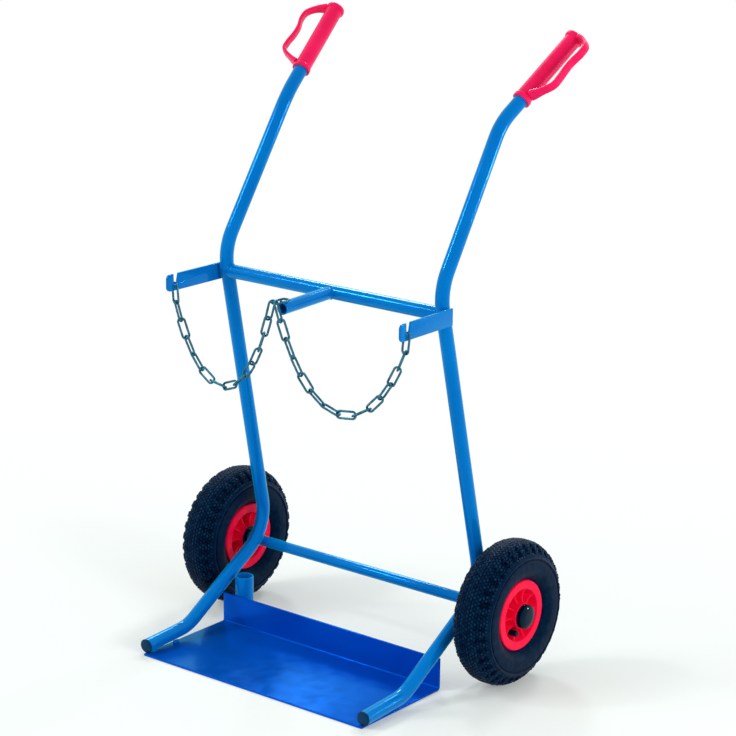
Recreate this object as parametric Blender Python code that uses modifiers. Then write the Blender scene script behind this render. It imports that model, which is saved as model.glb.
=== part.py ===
"""Two-bottle gas cylinder cart, in metres, Z up.

The toe plate's underside is centred on the origin. The front, with the toe, is at -Y, the wheels and
the handles are at +Y, and +X is the right-hand side as seen from the front.
"""

import math

import bmesh
import bpy
import numpy as np
from mathutils import Matrix, Vector

# Clearances
GAP = 0.0003
RUN_GAP = 0.0005

# Side tubes: one bent tube on each side, given by its corner points and bend radii
TUBE_R = 0.0125
TUBE_WALL = 0.0020
TUBE_SIDES = 14
TOE_INSET = 0.0010
UPPER_BEND_X = 0.2397
HANDLE_X = 0.2353
TOE_END_Y = -0.1010
TOE_RISE = 0.0062
TOE_BEND_Y = 0.0063
AXLE_BEND_Y = 0.2244
AXLE_BEND_Z = 0.1550
UPPER_BEND_Y = 0.1022
UPPER_BEND_Z = 0.7100
HANDLE_BEND_Y = 0.2692
HANDLE_BEND_Z = 0.9691
GRIP_SPLAY = 10.0
GRIP_PITCH = 36.9
TOE_BEND_R = 0.090
AXLE_BEND_R = 0.082
UPPER_BEND_R = 0.090
HANDLE_BEND_R = 0.140
BEND_STEPS = (4, 8, 6, 4)

# Toe plate with its rear flange
PLATE_W = 0.5000
PLATE_D = 0.2170
PLATE_T = 0.0040
FLANGE_TOP = 0.0590
FOLD_R = 0.0070
FOLD_STEPS = 5

# Rod socket behind the flange
SOCKET_R = 0.01685
SOCKET_WALL = 0.0026
SOCKET_FLOOR = 0.0030
SOCKET_INSET = 0.0330
SOCKET_BOTTOM = 0.0120
SOCKET_TOP = 0.0932

# Upper crossbar and the stub tube on its middle
CROSS_R = 0.0125
CROSS_WALL = 0.0020
CROSS_Z = 0.6697
STUB_R = 0.01125
STUB_WALL = 0.0020
STUB_END_Y = -0.0207
STUB_DROP = 1.8
COPE_INSET = 0.0040

# Flat arms with their chain slots
ARM_H = 0.0300
ARM_T = 0.0040
ARM_TOP = 0.6829
ARM_TIP_Y = -0.0290
ARM_REAR_Y = 0.1155
ARM_SPLAY = 0.9
ARM_TIP_R = 0.0080
SLOT_Y = -0.0086
SLOT_W = 0.0070
SLOT_FLARE = 0.0008
SLOT_REAR_FLARE = 0.0045
SLOT_DEPTH = 0.0195

# Chain links and the eye that both chains hang from
WIRE_R = 0.0020
LINK_INNER = 0.0332
LINK_PLAY = 0.0011
LINK_WIDTH = 0.0160
LINK_COUNT = 14
BOW_STEPS = 6
EYE_WIDTH = 0.0200
EYE_FRONT_Y = -0.0440
EYE_LENGTH = 0.0385
EYE_HANG_X = 0.0037
EYE_HANG_LIFT = 0.0003
SLOT_SEAT = 0.0005
END_LINK_LEAN = 6.0
LEFT_ROLLS = (-7, 62, -52, 10, 72, -38, 58, -12, -78, 4, 66, -44, 20, 82)
RIGHT_ROLLS = (7, 71, -11, -73, -7, -85, 12, -92, -30, 31, -88, -25, 37, -82)

# Axle, spacers and hub caps
AXLE_R = 0.0100
AXLE_SIDES = 20
AXLE_CHAMFER = 0.0010
SPACER_R = 0.0140
WASHER_R = 0.0165
WASHER_T = 0.0020
CAP_R = 0.0215
CAP_H = 0.0080
CAP_GRIP = 0.0040

# Wheels, measured from the wheel's middle plane, which lies outside the toe tube's line
WHEEL_R = 0.1300
WHEEL_OUT = 0.0647
TYRE_HALF = 0.0390
TYRE_SIDES = 28
TREAD_T = 0.0095
BEAD_T = 0.0055
# Tyre sections: the share of the way from the rim's lip to the tread, and of half the width
TYRE_SHARES = ((0.147, 0.910), (0.386, 1.000), (0.656, 0.923), (0.850, 0.731), (0.970, 0.400))
CARCASS_SHARES = ((0.753, 0.551), (0.371, 0.795))
RIM_SIDES = 30
BARREL_R = 0.0525
BARREL_HALF = 0.0245
LIP_R = 0.0625
LIP_HALF = 0.0302
LIP_INNER_R = 0.0470
LIP_ROUND = 0.0024
DISH_FILLET = 0.0035
WEB_HALF = 0.0090
HUB_R = 0.0230
HUB_HALF = 0.0335
HUB_BORE = 0.0175
RIB_COUNT = 10
RIB_T = 0.0026
RIB_TOP = 0.0235
BEARING_L = 0.0160
BEARING_FLANGE_R = 0.0215
BEARING_FLANGE_T = 0.0024
BEARING_SIDES = 14
VALVE_R = 0.0052
VALVE_TOP = 0.0355
VALVE_NECK = 0.0120
VALVE_OUT = 0.0334
VALVE_ANGLE = 234.5

# Hand grips with their knuckle guards, measured along the grip from its lower end
GRIP_START = 0.0570
GRIP_LENGTH = 0.1608
GRIP_R = 0.0147
GRIP_SIDES = 18
GRIP_END_WALL = 0.0040
BORE_RUNOUT = 0.0020
COLLAR_R = 0.0165
COLLAR_L = 0.0070
KNOB_R = 0.0172
KNOB_L = 0.0095
GUARD_LIFT = 15.0
GUARD_T = 0.0062
GUARD_W = 0.0140
# The guard's middle line: the share of the grip's length, and the distance out from the grip's axis
GUARD_SHARES = (
    0.0858, 0.1119, 0.1443, 0.1866, 0.2400, 0.2954, 0.3595, 0.4801, 0.6026,
    0.6716, 0.7338, 0.7960, 0.8464, 0.8924, 0.9291, 0.9546, 0.9714,
)
GUARD_REACHES = (
    0.0142, 0.0216, 0.0309, 0.0420, 0.0502, 0.0520, 0.0512, 0.0480, 0.0474,
    0.0492, 0.0511, 0.0512, 0.0482, 0.0415, 0.0333, 0.0245, 0.0150,
)

# Plugs in the toe ends
PLUG_HEAD = 0.0042
PLUG_DOME = 0.0012
PLUG_INSERT = 0.0120

BLUE = (0.004, 0.160, 0.520, 1.0)
RED = (0.930, 0.010, 0.060, 1.0)
BLACK = (0.010, 0.014, 0.020, 1.0)
RUBBER = (0.006, 0.014, 0.028, 1.0)
STEEL = (0.180, 0.300, 0.360, 1.0)

for old in list(bpy.data.objects):
    bpy.data.objects.remove(old, do_unlink=True)

parts = bpy.data.collections.new("gas_cylinder_cart")
cutters = bpy.data.collections.new("cutters")
bpy.context.scene.collection.children.link(parts)
bpy.context.scene.collection.children.link(cutters)


def material_for(name, colour, metallic, roughness):
    """A Principled material with the given base colour."""
    made = bpy.data.materials.new(name)
    made.use_nodes = True
    shader = made.node_tree.nodes["Principled BSDF"]
    shader.inputs["Base Color"].default_value = colour
    shader.inputs["Metallic"].default_value = metallic
    shader.inputs["Roughness"].default_value = roughness
    return made


FINISHES = {
    "blue": (BLUE, 0.0, 0.35),
    "red": (RED, 0.0, 0.40),
    "black": (BLACK, 0.0, 0.45),
    "rubber": (RUBBER, 0.0, 0.70),
    "steel": (STEEL, 0.9, 0.40),
}


def add_part(name, mesh, finish, place=None):
    """Puts a mesh in the parts collection with a material of its own."""
    made = bpy.data.objects.new(name, mesh)
    parts.objects.link(made)
    if place is not None:
        made.matrix_world = place
    colour, metallic, roughness = FINISHES[finish]
    mesh.materials.clear()
    mesh.materials.append(material_for(name + "_finish", colour, metallic, roughness))
    return made


def add_cutter(name, mesh, place=None):
    """Puts a helper mesh in the cutters collection, out of the render."""
    made = bpy.data.objects.new(name, mesh)
    cutters.objects.link(made)
    if place is not None:
        made.matrix_world = place
    made.hide_render = True
    made.display_type = "WIRE"
    return made


def boolean(target, tool, operation):
    """Adds one exact Boolean modifier."""
    step = target.modifiers.new(operation.lower() + "_" + tool.name, "BOOLEAN")
    step.operation = operation
    step.solver = "EXACT"
    step.object = tool


def mesh_of_curve(curve, place):
    """The curve as a welded mesh in world space, facing out."""
    holder = bpy.data.objects.new(curve.name, curve)
    cutters.objects.link(holder)
    graph = bpy.context.evaluated_depsgraph_get()
    mesh = bpy.data.meshes.new_from_object(holder.evaluated_get(graph))
    bpy.data.objects.remove(holder)
    mesh.transform(place)
    work = bmesh.new()
    work.from_mesh(mesh)
    bmesh.ops.remove_doubles(work, verts=work.verts, dist=1e-6)
    bmesh.ops.recalc_face_normals(work, faces=work.faces)
    work.to_mesh(mesh)
    work.free()
    return mesh


def swept(name, path, radius, sides, capped=True, closed=False):
    """A round bar of the given radius along a path of points."""
    curve = bpy.data.curves.new(name, "CURVE")
    curve.dimensions = "3D"
    curve.bevel_depth = radius
    curve.bevel_resolution = (sides - 4) // 2
    curve.use_fill_caps = capped
    spline = curve.splines.new("POLY")
    spline.points.add(len(path) - 1)
    for point, spot in zip(spline.points, path):
        point.co = (*spot, 1.0)
    spline.use_cyclic_u = closed
    return mesh_of_curve(curve, Matrix.Identity(4))


def sheet(name, outline, half_thickness, place):
    """A flat outline, in local X and Y, thickened both ways along local Z."""
    curve = bpy.data.curves.new(name, "CURVE")
    curve.dimensions = "2D"
    curve.fill_mode = "BOTH"
    curve.extrude = half_thickness
    spline = curve.splines.new("POLY")
    spline.points.add(len(outline) - 1)
    for point, spot in zip(spline.points, outline):
        point.co = (spot[0], spot[1], 0.0, 1.0)
    spline.use_cyclic_u = True
    return mesh_of_curve(curve, place)


def revolve(made, sides):
    """Turns an object's profile once about its local Z axis."""
    turn = made.modifiers.new("turn", "SCREW")
    turn.axis = "Z"
    turn.angle = math.tau
    turn.screw_offset = 0.0
    turn.steps = sides
    turn.render_steps = sides
    turn.use_merge_vertices = True
    turn.merge_threshold = 1e-5


def profile_mesh(name, profile, ring):
    """A line of (radius, height) pairs, joined end to end when it makes a ring."""
    count = len(profile)
    mesh = bpy.data.meshes.new(name)
    spots = [(radius, 0.0, height) for radius, height in profile]
    edges = [(i, (i + 1) % count) for i in range(count if ring else count - 1)]
    mesh.from_pydata(spots, edges, [])
    return mesh


def turned(name, profile, sides, finish, place, ring=True):
    """A turned part about the local Z axis of its place."""
    made = add_part(name, profile_mesh(name, profile, ring), finish, place)
    revolve(made, sides)
    return made


def flat(radius, sides):
    """The radius to the middle of a side, for a ring drawn with that many sides."""
    return radius * math.cos(math.pi / sides)


def clear_of(radius, sides):
    """The corner radius of a ring whose sides stay clear of a bar of the given radius."""
    return (radius + GAP) / math.cos(math.pi / sides)


def mirrored(spot, side):
    """The point on the right (side 1) or left (side -1) of the cart."""
    return Vector((side * spot[0], spot[1], spot[2]))


def bend_frame(before, corner, after, radius):
    """The start, centre, unit start arm, unit turning arm and angle of a bend."""
    back = (before - corner).normalized()
    ahead = (after - corner).normalized()
    angle = math.pi - back.angle(ahead)
    centre = corner + (back + ahead).normalized() * (radius / math.cos(angle / 2))
    start = corner + back * (radius * math.tan(angle / 2))
    arm = (start - centre).normalized()
    return centre, arm, -back, angle


def filleted(corners, radii, steps):
    """The corner points with every inner corner replaced by an arc."""
    path = [corners[0]]
    for i, (radius, count) in enumerate(zip(radii, steps)):
        centre, arm, turning, angle = bend_frame(corners[i], corners[i + 1], corners[i + 2], radius)
        for step in range(count + 1):
            share = angle * step / count
            path.append(centre + radius * (math.cos(share) * arm + math.sin(share) * turning))
    path.append(corners[-1])
    return path


def frame_matrix(along, across, origin):
    """A place whose local Z runs along and whose local X lies towards across."""
    z_axis = Vector(along).normalized()
    x_axis = (Vector(across) - Vector(across).dot(z_axis) * z_axis).normalized()
    y_axis = z_axis.cross(x_axis)
    turn = Matrix((x_axis, y_axis, z_axis)).transposed().to_4x4()
    return Matrix.Translation(origin) @ turn


# Corner points of the right-hand side tube
toe_z = PLATE_T + GAP + TUBE_R
grip_way = Vector((
    math.sin(math.radians(GRIP_SPLAY)) * math.cos(math.radians(GRIP_PITCH)),
    math.cos(math.radians(GRIP_SPLAY)) * math.cos(math.radians(GRIP_PITCH)),
    math.sin(math.radians(GRIP_PITCH)),
))
toe_x = PLATE_W / 2 - TOE_INSET
toe_end = Vector((toe_x, TOE_END_Y, toe_z))
toe_bend = Vector((toe_x, TOE_BEND_Y, toe_z + TOE_RISE))
axle_bend = Vector((toe_x, AXLE_BEND_Y, AXLE_BEND_Z))
upper_bend = Vector((UPPER_BEND_X, UPPER_BEND_Y, UPPER_BEND_Z))
handle_bend = Vector((HANDLE_X, HANDLE_BEND_Y, HANDLE_BEND_Z))
tube_end = handle_bend + grip_way * (GRIP_START + GRIP_LENGTH - GRIP_END_WALL - GAP)
tube_corners = [toe_end, toe_bend, axle_bend, upper_bend, handle_bend, tube_end]
tube_radii = (TOE_BEND_R, AXLE_BEND_R, UPPER_BEND_R, HANDLE_BEND_R)


def main_tube_at(height):
    """The point of the right-hand tube's leaning part at a height."""
    share = (height - AXLE_BEND_Z) / (UPPER_BEND_Z - AXLE_BEND_Z)
    return axle_bend.lerp(upper_bend, share)


# Side tubes
tube_cutters = {}
for side, word in ((-1, "left"), (1, "right")):
    path = filleted([mirrored(c, side) for c in tube_corners], tube_radii, BEND_STEPS)
    skin = swept(word + "_side_tube", path, TUBE_R, TUBE_SIDES, capped=False)
    tube = add_part(word + "_side_tube", skin, "blue")
    wall = tube.modifiers.new("wall", "SOLIDIFY")
    wall.thickness = TUBE_WALL
    wall.offset = -1.0
    cut_r = clear_of(TUBE_R, TUBE_SIDES)
    cut = swept(word + "_tube_cutter", path, cut_r, TUBE_SIDES)
    tube_cutters[word] = add_cutter(word + "_tube_cutter", cut)

# Crossbar, cut to the side tubes, and the stub, cut to the crossbar
cross_at = main_tube_at(CROSS_Z)
cross_half = cross_at.x - COPE_INSET
cross_ends = [Vector((-cross_half, cross_at.y, CROSS_Z)), Vector((cross_half, cross_at.y, CROSS_Z))]
crossbar = add_part("crossbar", swept("crossbar", cross_ends, CROSS_R, TUBE_SIDES, capped=False), "blue")
wall = crossbar.modifiers.new("wall", "SOLIDIFY")
wall.thickness = CROSS_WALL
wall.offset = -1.0
for word in ("left", "right"):
    boolean(crossbar, tube_cutters[word], "DIFFERENCE")

drop = math.radians(STUB_DROP)
stub_way = Vector((0.0, -math.cos(drop), -math.sin(drop)))
cross_mid = Vector((0.0, cross_at.y, CROSS_Z))


def along_stub(y):
    """The point of the stub's axis at a Y."""
    return cross_mid + stub_way * ((cross_at.y - y) / math.cos(drop))


stub_ends = [along_stub(cross_at.y - COPE_INSET), along_stub(STUB_END_Y)]
stub = add_part("stub_tube", swept("stub_tube", stub_ends, STUB_R, TUBE_SIDES, capped=False), "blue")
wall = stub.modifiers.new("wall", "SOLIDIFY")
wall.thickness = STUB_WALL
wall.offset = -1.0
cope_r = clear_of(CROSS_R, TUBE_SIDES)
cross_cut = swept("cross_cutter", cross_ends, cope_r, TUBE_SIDES)
boolean(stub, add_cutter("cross_cutter", cross_cut), "DIFFERENCE")

# Toe plate: its cross-section, front edge first, drawn in Y and Z
plate_front = -PLATE_D / 2
plate_rear = PLATE_D / 2
fold = [(plate_front, 0.0)]
for step in range(FOLD_STEPS + 1):
    turn = math.radians(90.0 * step / FOLD_STEPS)
    fold.append((plate_rear - FOLD_R + FOLD_R * math.sin(turn), FOLD_R - FOLD_R * math.cos(turn)))
fold.append((plate_rear, FLANGE_TOP))
fold.append((plate_rear - PLATE_T, FLANGE_TOP))
inner_r = FOLD_R - PLATE_T
for step in range(FOLD_STEPS, -1, -1):
    turn = math.radians(90.0 * step / FOLD_STEPS)
    fold.append((plate_rear - FOLD_R + inner_r * math.sin(turn), FOLD_R - inner_r * math.cos(turn)))
fold.append((plate_front, PLATE_T))
along_x = Matrix(((0, 0, 1, 0), (1, 0, 0, 0), (0, 1, 0, 0), (0, 0, 0, 1)))
add_part("toe_plate", sheet("toe_plate", fold, PLATE_W / 2, along_x), "blue")

# Rod socket, a cup that stands behind the flange
socket_y = plate_rear + GAP + SOCKET_R
socket_bore = SOCKET_R - SOCKET_WALL
socket_profile = [
    (0.0, SOCKET_BOTTOM + SOCKET_FLOOR),
    (socket_bore, SOCKET_BOTTOM + SOCKET_FLOOR),
    (socket_bore, SOCKET_TOP),
    (SOCKET_R, SOCKET_TOP),
    (SOCKET_R, SOCKET_BOTTOM),
    (0.0, SOCKET_BOTTOM),
]
socket_place = Matrix.Translation((SOCKET_INSET - PLATE_W / 2, socket_y, 0.0))
turned("rod_socket", socket_profile, 20, "blue", socket_place, ring=False)

# Toe plugs
plug_r = flat(TUBE_R - TUBE_WALL, TUBE_SIDES) - GAP
plug_profile = [
    (0.0, GAP + PLUG_HEAD),
    (TUBE_R * 0.55, GAP + PLUG_HEAD - PLUG_DOME * 0.30),
    (TUBE_R * 0.92, GAP + PLUG_HEAD - PLUG_DOME),
    (TUBE_R, GAP + PLUG_HEAD - 2.0 * PLUG_DOME),
    (TUBE_R, GAP),
    (plug_r, GAP),
    (plug_r, -PLUG_INSERT),
    (0.0, -PLUG_INSERT),
]
for side, word in ((-1, "left"), (1, "right")):
    spot = mirrored(toe_end, side)
    way = spot - mirrored(toe_bend, side)
    place = frame_matrix(way, (0.0, 0.0, 1.0), spot)
    turned(word + "_toe_plug", plug_profile, TUBE_SIDES, "black", place, ring=False)

# Arms: outline in Y and Z with the slot cut down from the top edge
arm_bottom = ARM_TOP - ARM_H
slot_bottom = ARM_TOP - SLOT_DEPTH
arm_outline = [(ARM_REAR_Y, arm_bottom), (ARM_REAR_Y, ARM_TOP)]
arm_outline.append((SLOT_Y + SLOT_W / 2 + SLOT_REAR_FLARE, ARM_TOP))
for step in range(5):
    turn = math.radians(45.0 * step)
    floor_y = SLOT_Y + SLOT_W / 2 * math.cos(turn)
    arm_outline.append((floor_y, slot_bottom + SLOT_W / 2 * (1.0 - math.sin(turn))))
arm_outline.append((SLOT_Y - SLOT_W / 2 - SLOT_FLARE, ARM_TOP))
for step in range(4):
    turn = math.radians(30.0 * step)
    high = ARM_TOP - ARM_TIP_R * (1.0 - math.cos(turn))
    arm_outline.append((ARM_TIP_Y + ARM_TIP_R * (1.0 - math.sin(turn)), high))
for step in range(4):
    turn = math.radians(30.0 * step)
    low = arm_bottom + ARM_TIP_R * (1.0 - math.sin(turn))
    arm_outline.append((ARM_TIP_Y + ARM_TIP_R * (1.0 - math.cos(turn)), low))
arm_at = main_tube_at(ARM_TOP - ARM_H / 2)
arm_lean = abs(arm_at.x - main_tube_at(ARM_TOP).x)
arm_x = arm_at.x + arm_lean + TUBE_R + GAP + ARM_T / 2
arm_turns = {}
for side, word in ((-1, "left"), (1, "right")):
    hinge = Vector((side * arm_x, arm_at.y, 0.0))
    swing = Matrix.Rotation(math.radians(side * ARM_SPLAY), 4, "Z")
    arm_turns[side] = Matrix.Translation(hinge) @ swing @ Matrix.Translation((0.0, -arm_at.y, 0.0))
    plate = sheet(word + "_arm", arm_outline, ARM_T / 2, arm_turns[side] @ along_x)
    add_part(word + "_arm", plate, "blue")


def racetrack(length, width, steps):
    """The wire line of a link: two half circles and two straights, in local X (length) and Y (width)."""
    bow = width / 2 - WIRE_R
    reach = length / 2 - WIRE_R - bow
    line = []
    for end, first in ((1, -90.0), (-1, 90.0)):
        for step in range(steps + 1):
            turn = math.radians(first + 180.0 * step / steps)
            line.append(Vector((end * reach + bow * math.cos(turn), bow * math.sin(turn), 0.0)))
    return line


# Eye: a link laid flat on the stub's end
eye_lift = Vector((0.0, -math.sin(drop), math.cos(drop))) * (STUB_R + GAP + WIRE_R)
eye_line = racetrack(EYE_LENGTH, EYE_WIDTH, BOW_STEPS)
eye_mid = along_stub(EYE_FRONT_Y + EYE_LENGTH / 2) + eye_lift
eye_path = [eye_mid - stub_way * p.x - Vector((p.y, 0.0, 0.0)) for p in eye_line]
add_part("chain_eye", swept("chain_eye", eye_path, WIRE_R, 6, closed=True), "steel")
eye_bow = EYE_WIDTH / 2 - WIRE_R
eye_reach = EYE_LENGTH / 2 - EYE_WIDTH / 2 + math.sqrt(eye_bow**2 - EYE_HANG_X**2)


def hanging_run(start, end, count, pitch):
    """The joints of equal links that hang at rest between two points.

    Each link's slope is (shift + number) / pull, and Newton steps find the two values
    that bring the last joint to the end point.
    """
    span = end - start
    level = math.hypot(span.x, span.y)
    way = Vector((span.x, span.y, 0.0)) / level
    number = np.arange(count)

    def reach(values):
        slope = (values[1] + number) / values[0]
        run = pitch / np.sqrt(1.0 + slope * slope)
        return np.array([run.sum(), (slope * run).sum()])

    goal = np.array([level, span.z])
    values = np.array([2.0, -(count - 1) / 2.0])
    for _ in range(200):
        miss = reach(values) - goal
        nudges = np.eye(2) * 1e-6
        slopes = np.array([(reach(values + nudge) - reach(values)) / 1e-6 for nudge in nudges]).T
        change = np.linalg.solve(slopes, miss)
        values = values - change * min(1.0, 0.5 / max(np.abs(change).max(), 1e-9))
    slope = (values[1] + number) / values[0]
    run = pitch / np.sqrt(1.0 + slope * slope)
    joints = [start]
    for share, fall in zip(run, slope):
        joints.append(joints[-1] + way * float(share) + Vector((0.0, 0.0, float(fall * share))))
    return joints


# Chains: every link is its own solid, and each chain hangs from its arm's slot to the eye
link_length = LINK_INNER + 4 * WIRE_R
link_pitch = LINK_INNER - LINK_PLAY
bow_reach = WIRE_R + LINK_PLAY / 2
link_line = racetrack(link_length, LINK_WIDTH, BOW_STEPS)
for side, word, rolls in ((-1, "left", LEFT_ROLLS), (1, "right", RIGHT_ROLLS)):
    slot_spot = arm_turns[side] @ Vector((0.0, SLOT_Y, slot_bottom + SLOT_SEAT))
    eye_wire = eye_mid + stub_way * eye_reach + Vector((side * EYE_HANG_X, 0.0, 0.0))
    eye_spot = eye_wire + Vector((0.0, 0.0, WIRE_R + EYE_HANG_LIFT))
    level = Vector((eye_spot.x - slot_spot.x, eye_spot.y - slot_spot.y, 0.0)).normalized()
    lean = math.radians(END_LINK_LEAN)
    first_way = level * math.sin(lean) - Vector((0.0, 0.0, math.cos(lean)))
    second = slot_spot + first_way * link_pitch
    joints = [slot_spot] + hanging_run(second, eye_spot, LINK_COUNT - 1, link_pitch)
    sideways = Vector((0.0, 0.0, 1.0)).cross(level)
    slot_bow = slot_spot - first_way * bow_reach
    axis = bpy.data.objects.new(word + "_chain_axis", None)
    parts.objects.link(axis)
    axis.matrix_world = frame_matrix(eye_wire - slot_bow, (0.0, 0.0, 1.0), slot_bow)
    bpy.context.view_layer.update()
    for number, roll in enumerate(rolls):
        run = (joints[number + 1] - joints[number]).normalized()
        upright = sideways.cross(run)
        turn = math.radians(roll)
        wide = upright * math.cos(turn) + sideways * math.sin(turn)
        middle = (joints[number] + joints[number + 1]) / 2
        path = [middle + run * p.x + wide * p.y for p in link_line]
        name = word + "_link_%02d" % (number + 1)
        link = add_part(name, swept(name, path, WIRE_R, 6, closed=True), "steel")
        link.parent = axis
        link.matrix_parent_inverse = axis.matrix_world.inverted()

# Axle, welded under the bends of the side tubes
bend_centre = bend_frame(toe_bend, axle_bend, upper_bend, AXLE_BEND_R)[0]
axle_z = WHEEL_R
axle_reach = AXLE_BEND_R + TUBE_R + GAP + AXLE_R
axle_y = bend_centre.y + math.sqrt(axle_reach**2 - (bend_centre.z - axle_z) ** 2)
cap_from = HUB_HALF + GAP + BEARING_FLANGE_T + RUN_GAP + WASHER_T + GAP
wheel_x = toe_x + WHEEL_OUT
axle_half = wheel_x + cap_from + CAP_GRIP
axle_profile = [
    (0.0, axle_half),
    (AXLE_R - AXLE_CHAMFER, axle_half),
    (AXLE_R, axle_half - AXLE_CHAMFER),
    (AXLE_R, AXLE_CHAMFER - axle_half),
    (AXLE_R - AXLE_CHAMFER, -axle_half),
    (0.0, -axle_half),
]
axle_place = frame_matrix((1.0, 0.0, 0.0), (0.0, 0.0, 1.0), (0.0, axle_y, axle_z))
turned("axle", axle_profile, AXLE_SIDES, "blue", axle_place, ring=False)


def ring_profile(inner, outer, low, high):
    """A plain ring's section."""
    return [(outer, high), (outer, low), (inner, low), (inner, high)]


# Tyre section: outside from one bead over the tread to the other, then back along the inside
bead_r = clear_of(BARREL_R, TYRE_SIDES)
bead_x = BARREL_HALF - GAP
over_lip = clear_of(LIP_R, TYRE_SIDES)


def over_rim(share):
    """The radius at a share of the way from the rim's lip to the tread."""
    return over_lip + (WHEEL_R - over_lip) * share


tyre_outer = [(bead_r, bead_x), (over_lip, bead_x)]
tyre_outer += [(over_rim(out), TYRE_HALF * wide) for out, wide in TYRE_SHARES]
tyre_outer.append((WHEEL_R, 0.0))
tyre_inner = [(WHEEL_R - TREAD_T, 0.0)]
tyre_inner += [(over_rim(out), TYRE_HALF * wide) for out, wide in CARCASS_SHARES]
tyre_inner.append((bead_r, bead_x - BEAD_T))
tyre_profile = tyre_outer + [(r, -h) for r, h in tyre_outer[-2::-1]]
tyre_profile += [(r, -h) for r, h in tyre_inner[::-1]] + tyre_inner[1:]

# Rim section: barrel and lips outside, dished faces and hub inside
rim_half = [
    (BARREL_R, 0.0),
    (BARREL_R, BARREL_HALF),
    (LIP_R, BARREL_HALF),
    (LIP_R, LIP_HALF - LIP_ROUND),
    (LIP_R - LIP_ROUND, LIP_HALF),
    (LIP_INNER_R, LIP_HALF - LIP_ROUND / 2),
    (LIP_INNER_R - DISH_FILLET, WEB_HALF + DISH_FILLET),
    (LIP_INNER_R - 2 * DISH_FILLET, WEB_HALF),
    (HUB_R + DISH_FILLET / 2, WEB_HALF),
    (HUB_R, HUB_HALF),
    (HUB_BORE, HUB_HALF),
]
rim_profile = rim_half[::-1] + [(r, -h) for r, h in rim_half[1:]]

bearing_bore = clear_of(AXLE_R, BEARING_SIDES)
bearing_r = flat(HUB_BORE, RIM_SIDES) - GAP
flange_from = HUB_HALF + GAP
bearing_profile = [
    (BEARING_FLANGE_R, flange_from + BEARING_FLANGE_T),
    (BEARING_FLANGE_R, flange_from),
    (bearing_r, flange_from),
    (bearing_r, HUB_HALF - BEARING_L),
    (bearing_bore, HUB_HALF - BEARING_L),
    (bearing_bore, flange_from + BEARING_FLANGE_T),
]
valve_foot = WEB_HALF + GAP
valve_profile = [
    (0.0, VALVE_TOP),
    (VALVE_R * 0.80, VALVE_TOP),
    (VALVE_R, VALVE_TOP - VALVE_R * 0.20),
    (VALVE_R, valve_foot + VALVE_NECK),
    (VALVE_R * 0.82, valve_foot + VALVE_NECK - VALVE_R * 0.18),
    (VALVE_R * 0.82, valve_foot + VALVE_NECK * 0.36),
    (VALVE_R * 1.15, valve_foot),
    (0.0, valve_foot),
]
cap_bore = clear_of(AXLE_R, AXLE_SIDES)
cap_profile = [
    (0.0, cap_from + CAP_H),
    (CAP_R * 0.50, cap_from + CAP_H * 0.94),
    (CAP_R * 0.82, cap_from + CAP_H * 0.76),
    (CAP_R, cap_from + CAP_H * 0.42),
    (CAP_R, cap_from),
    (cap_bore, cap_from),
    (cap_bore, cap_from + CAP_GRIP + GAP),
    (0.0, cap_from + CAP_GRIP + GAP),
]
washer_from = HUB_HALF + GAP + BEARING_FLANGE_T + RUN_GAP
washer_profile = ring_profile(cap_bore, WASHER_R, washer_from, washer_from + WASHER_T)
spacer_to = HUB_HALF + GAP + BEARING_FLANGE_T + RUN_GAP
spacer_from = WHEEL_OUT - TUBE_R - GAP
spacer_profile = ring_profile(cap_bore, SPACER_R, -spacer_from, -spacer_to)


def rib_mesh(name, first_angle):
    """Radial ribs on both faces of the rim, as separate boxes in one mesh."""
    work = bmesh.new()
    inner = (HUB_BORE + HUB_R) / 2
    outer = LIP_INNER_R - DISH_FILLET / 2
    for face in (-1, 1):
        for number in range(RIB_COUNT):
            size = Matrix.Diagonal((outer - inner, RIB_T, RIB_TOP - WEB_HALF / 2, 1.0))
            middle = Vector(((outer + inner) / 2, 0.0, face * (RIB_TOP + WEB_HALF / 2) / 2))
            turn = Matrix.Rotation(first_angle + math.tau * number / RIB_COUNT, 4, "Z")
            bmesh.ops.create_cube(work, size=1.0, matrix=turn @ Matrix.Translation(middle) @ size)
    mesh = bpy.data.meshes.new(name)
    work.to_mesh(mesh)
    work.free()
    return mesh


for side, word in ((-1, "left"), (1, "right")):
    centre = (side * wheel_x, axle_y, axle_z)
    place = frame_matrix((side, 0.0, 0.0), (0.0, 0.0, 1.0), centre)
    inward = frame_matrix((-side, 0.0, 0.0), (0.0, 0.0, 1.0), centre)
    angle = math.radians(VALVE_ANGLE)
    valve_way = Vector((0.0, math.cos(angle), math.sin(angle)))
    local_way = place.to_3x3().inverted() @ valve_way
    valve_turn = math.atan2(local_way.y, local_way.x)
    turned(word + "_tyre", tyre_profile, TYRE_SIDES, "rubber", place)
    rim = turned(word + "_rim", rim_profile, RIM_SIDES, "red", place)
    ribs = rib_mesh(word + "_ribs", valve_turn + math.pi / RIB_COUNT)
    boolean(rim, add_cutter(word + "_ribs", ribs, place), "UNION")
    turned(word + "_outer_bearing", bearing_profile, BEARING_SIDES, "black", place)
    turned(word + "_inner_bearing", bearing_profile, BEARING_SIDES, "black", inward)
    valve_place = Matrix.Translation(valve_way * VALVE_OUT) @ place
    turned(word + "_valve", valve_profile, 10, "black", valve_place, ring=False)
    turned(word + "_washer", washer_profile, AXLE_SIDES, "steel", place)
    turned(word + "_spacer", spacer_profile, AXLE_SIDES, "blue", place)
    turned(word + "_hub_cap", cap_profile, AXLE_SIDES, "black", place, ring=False)

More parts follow.
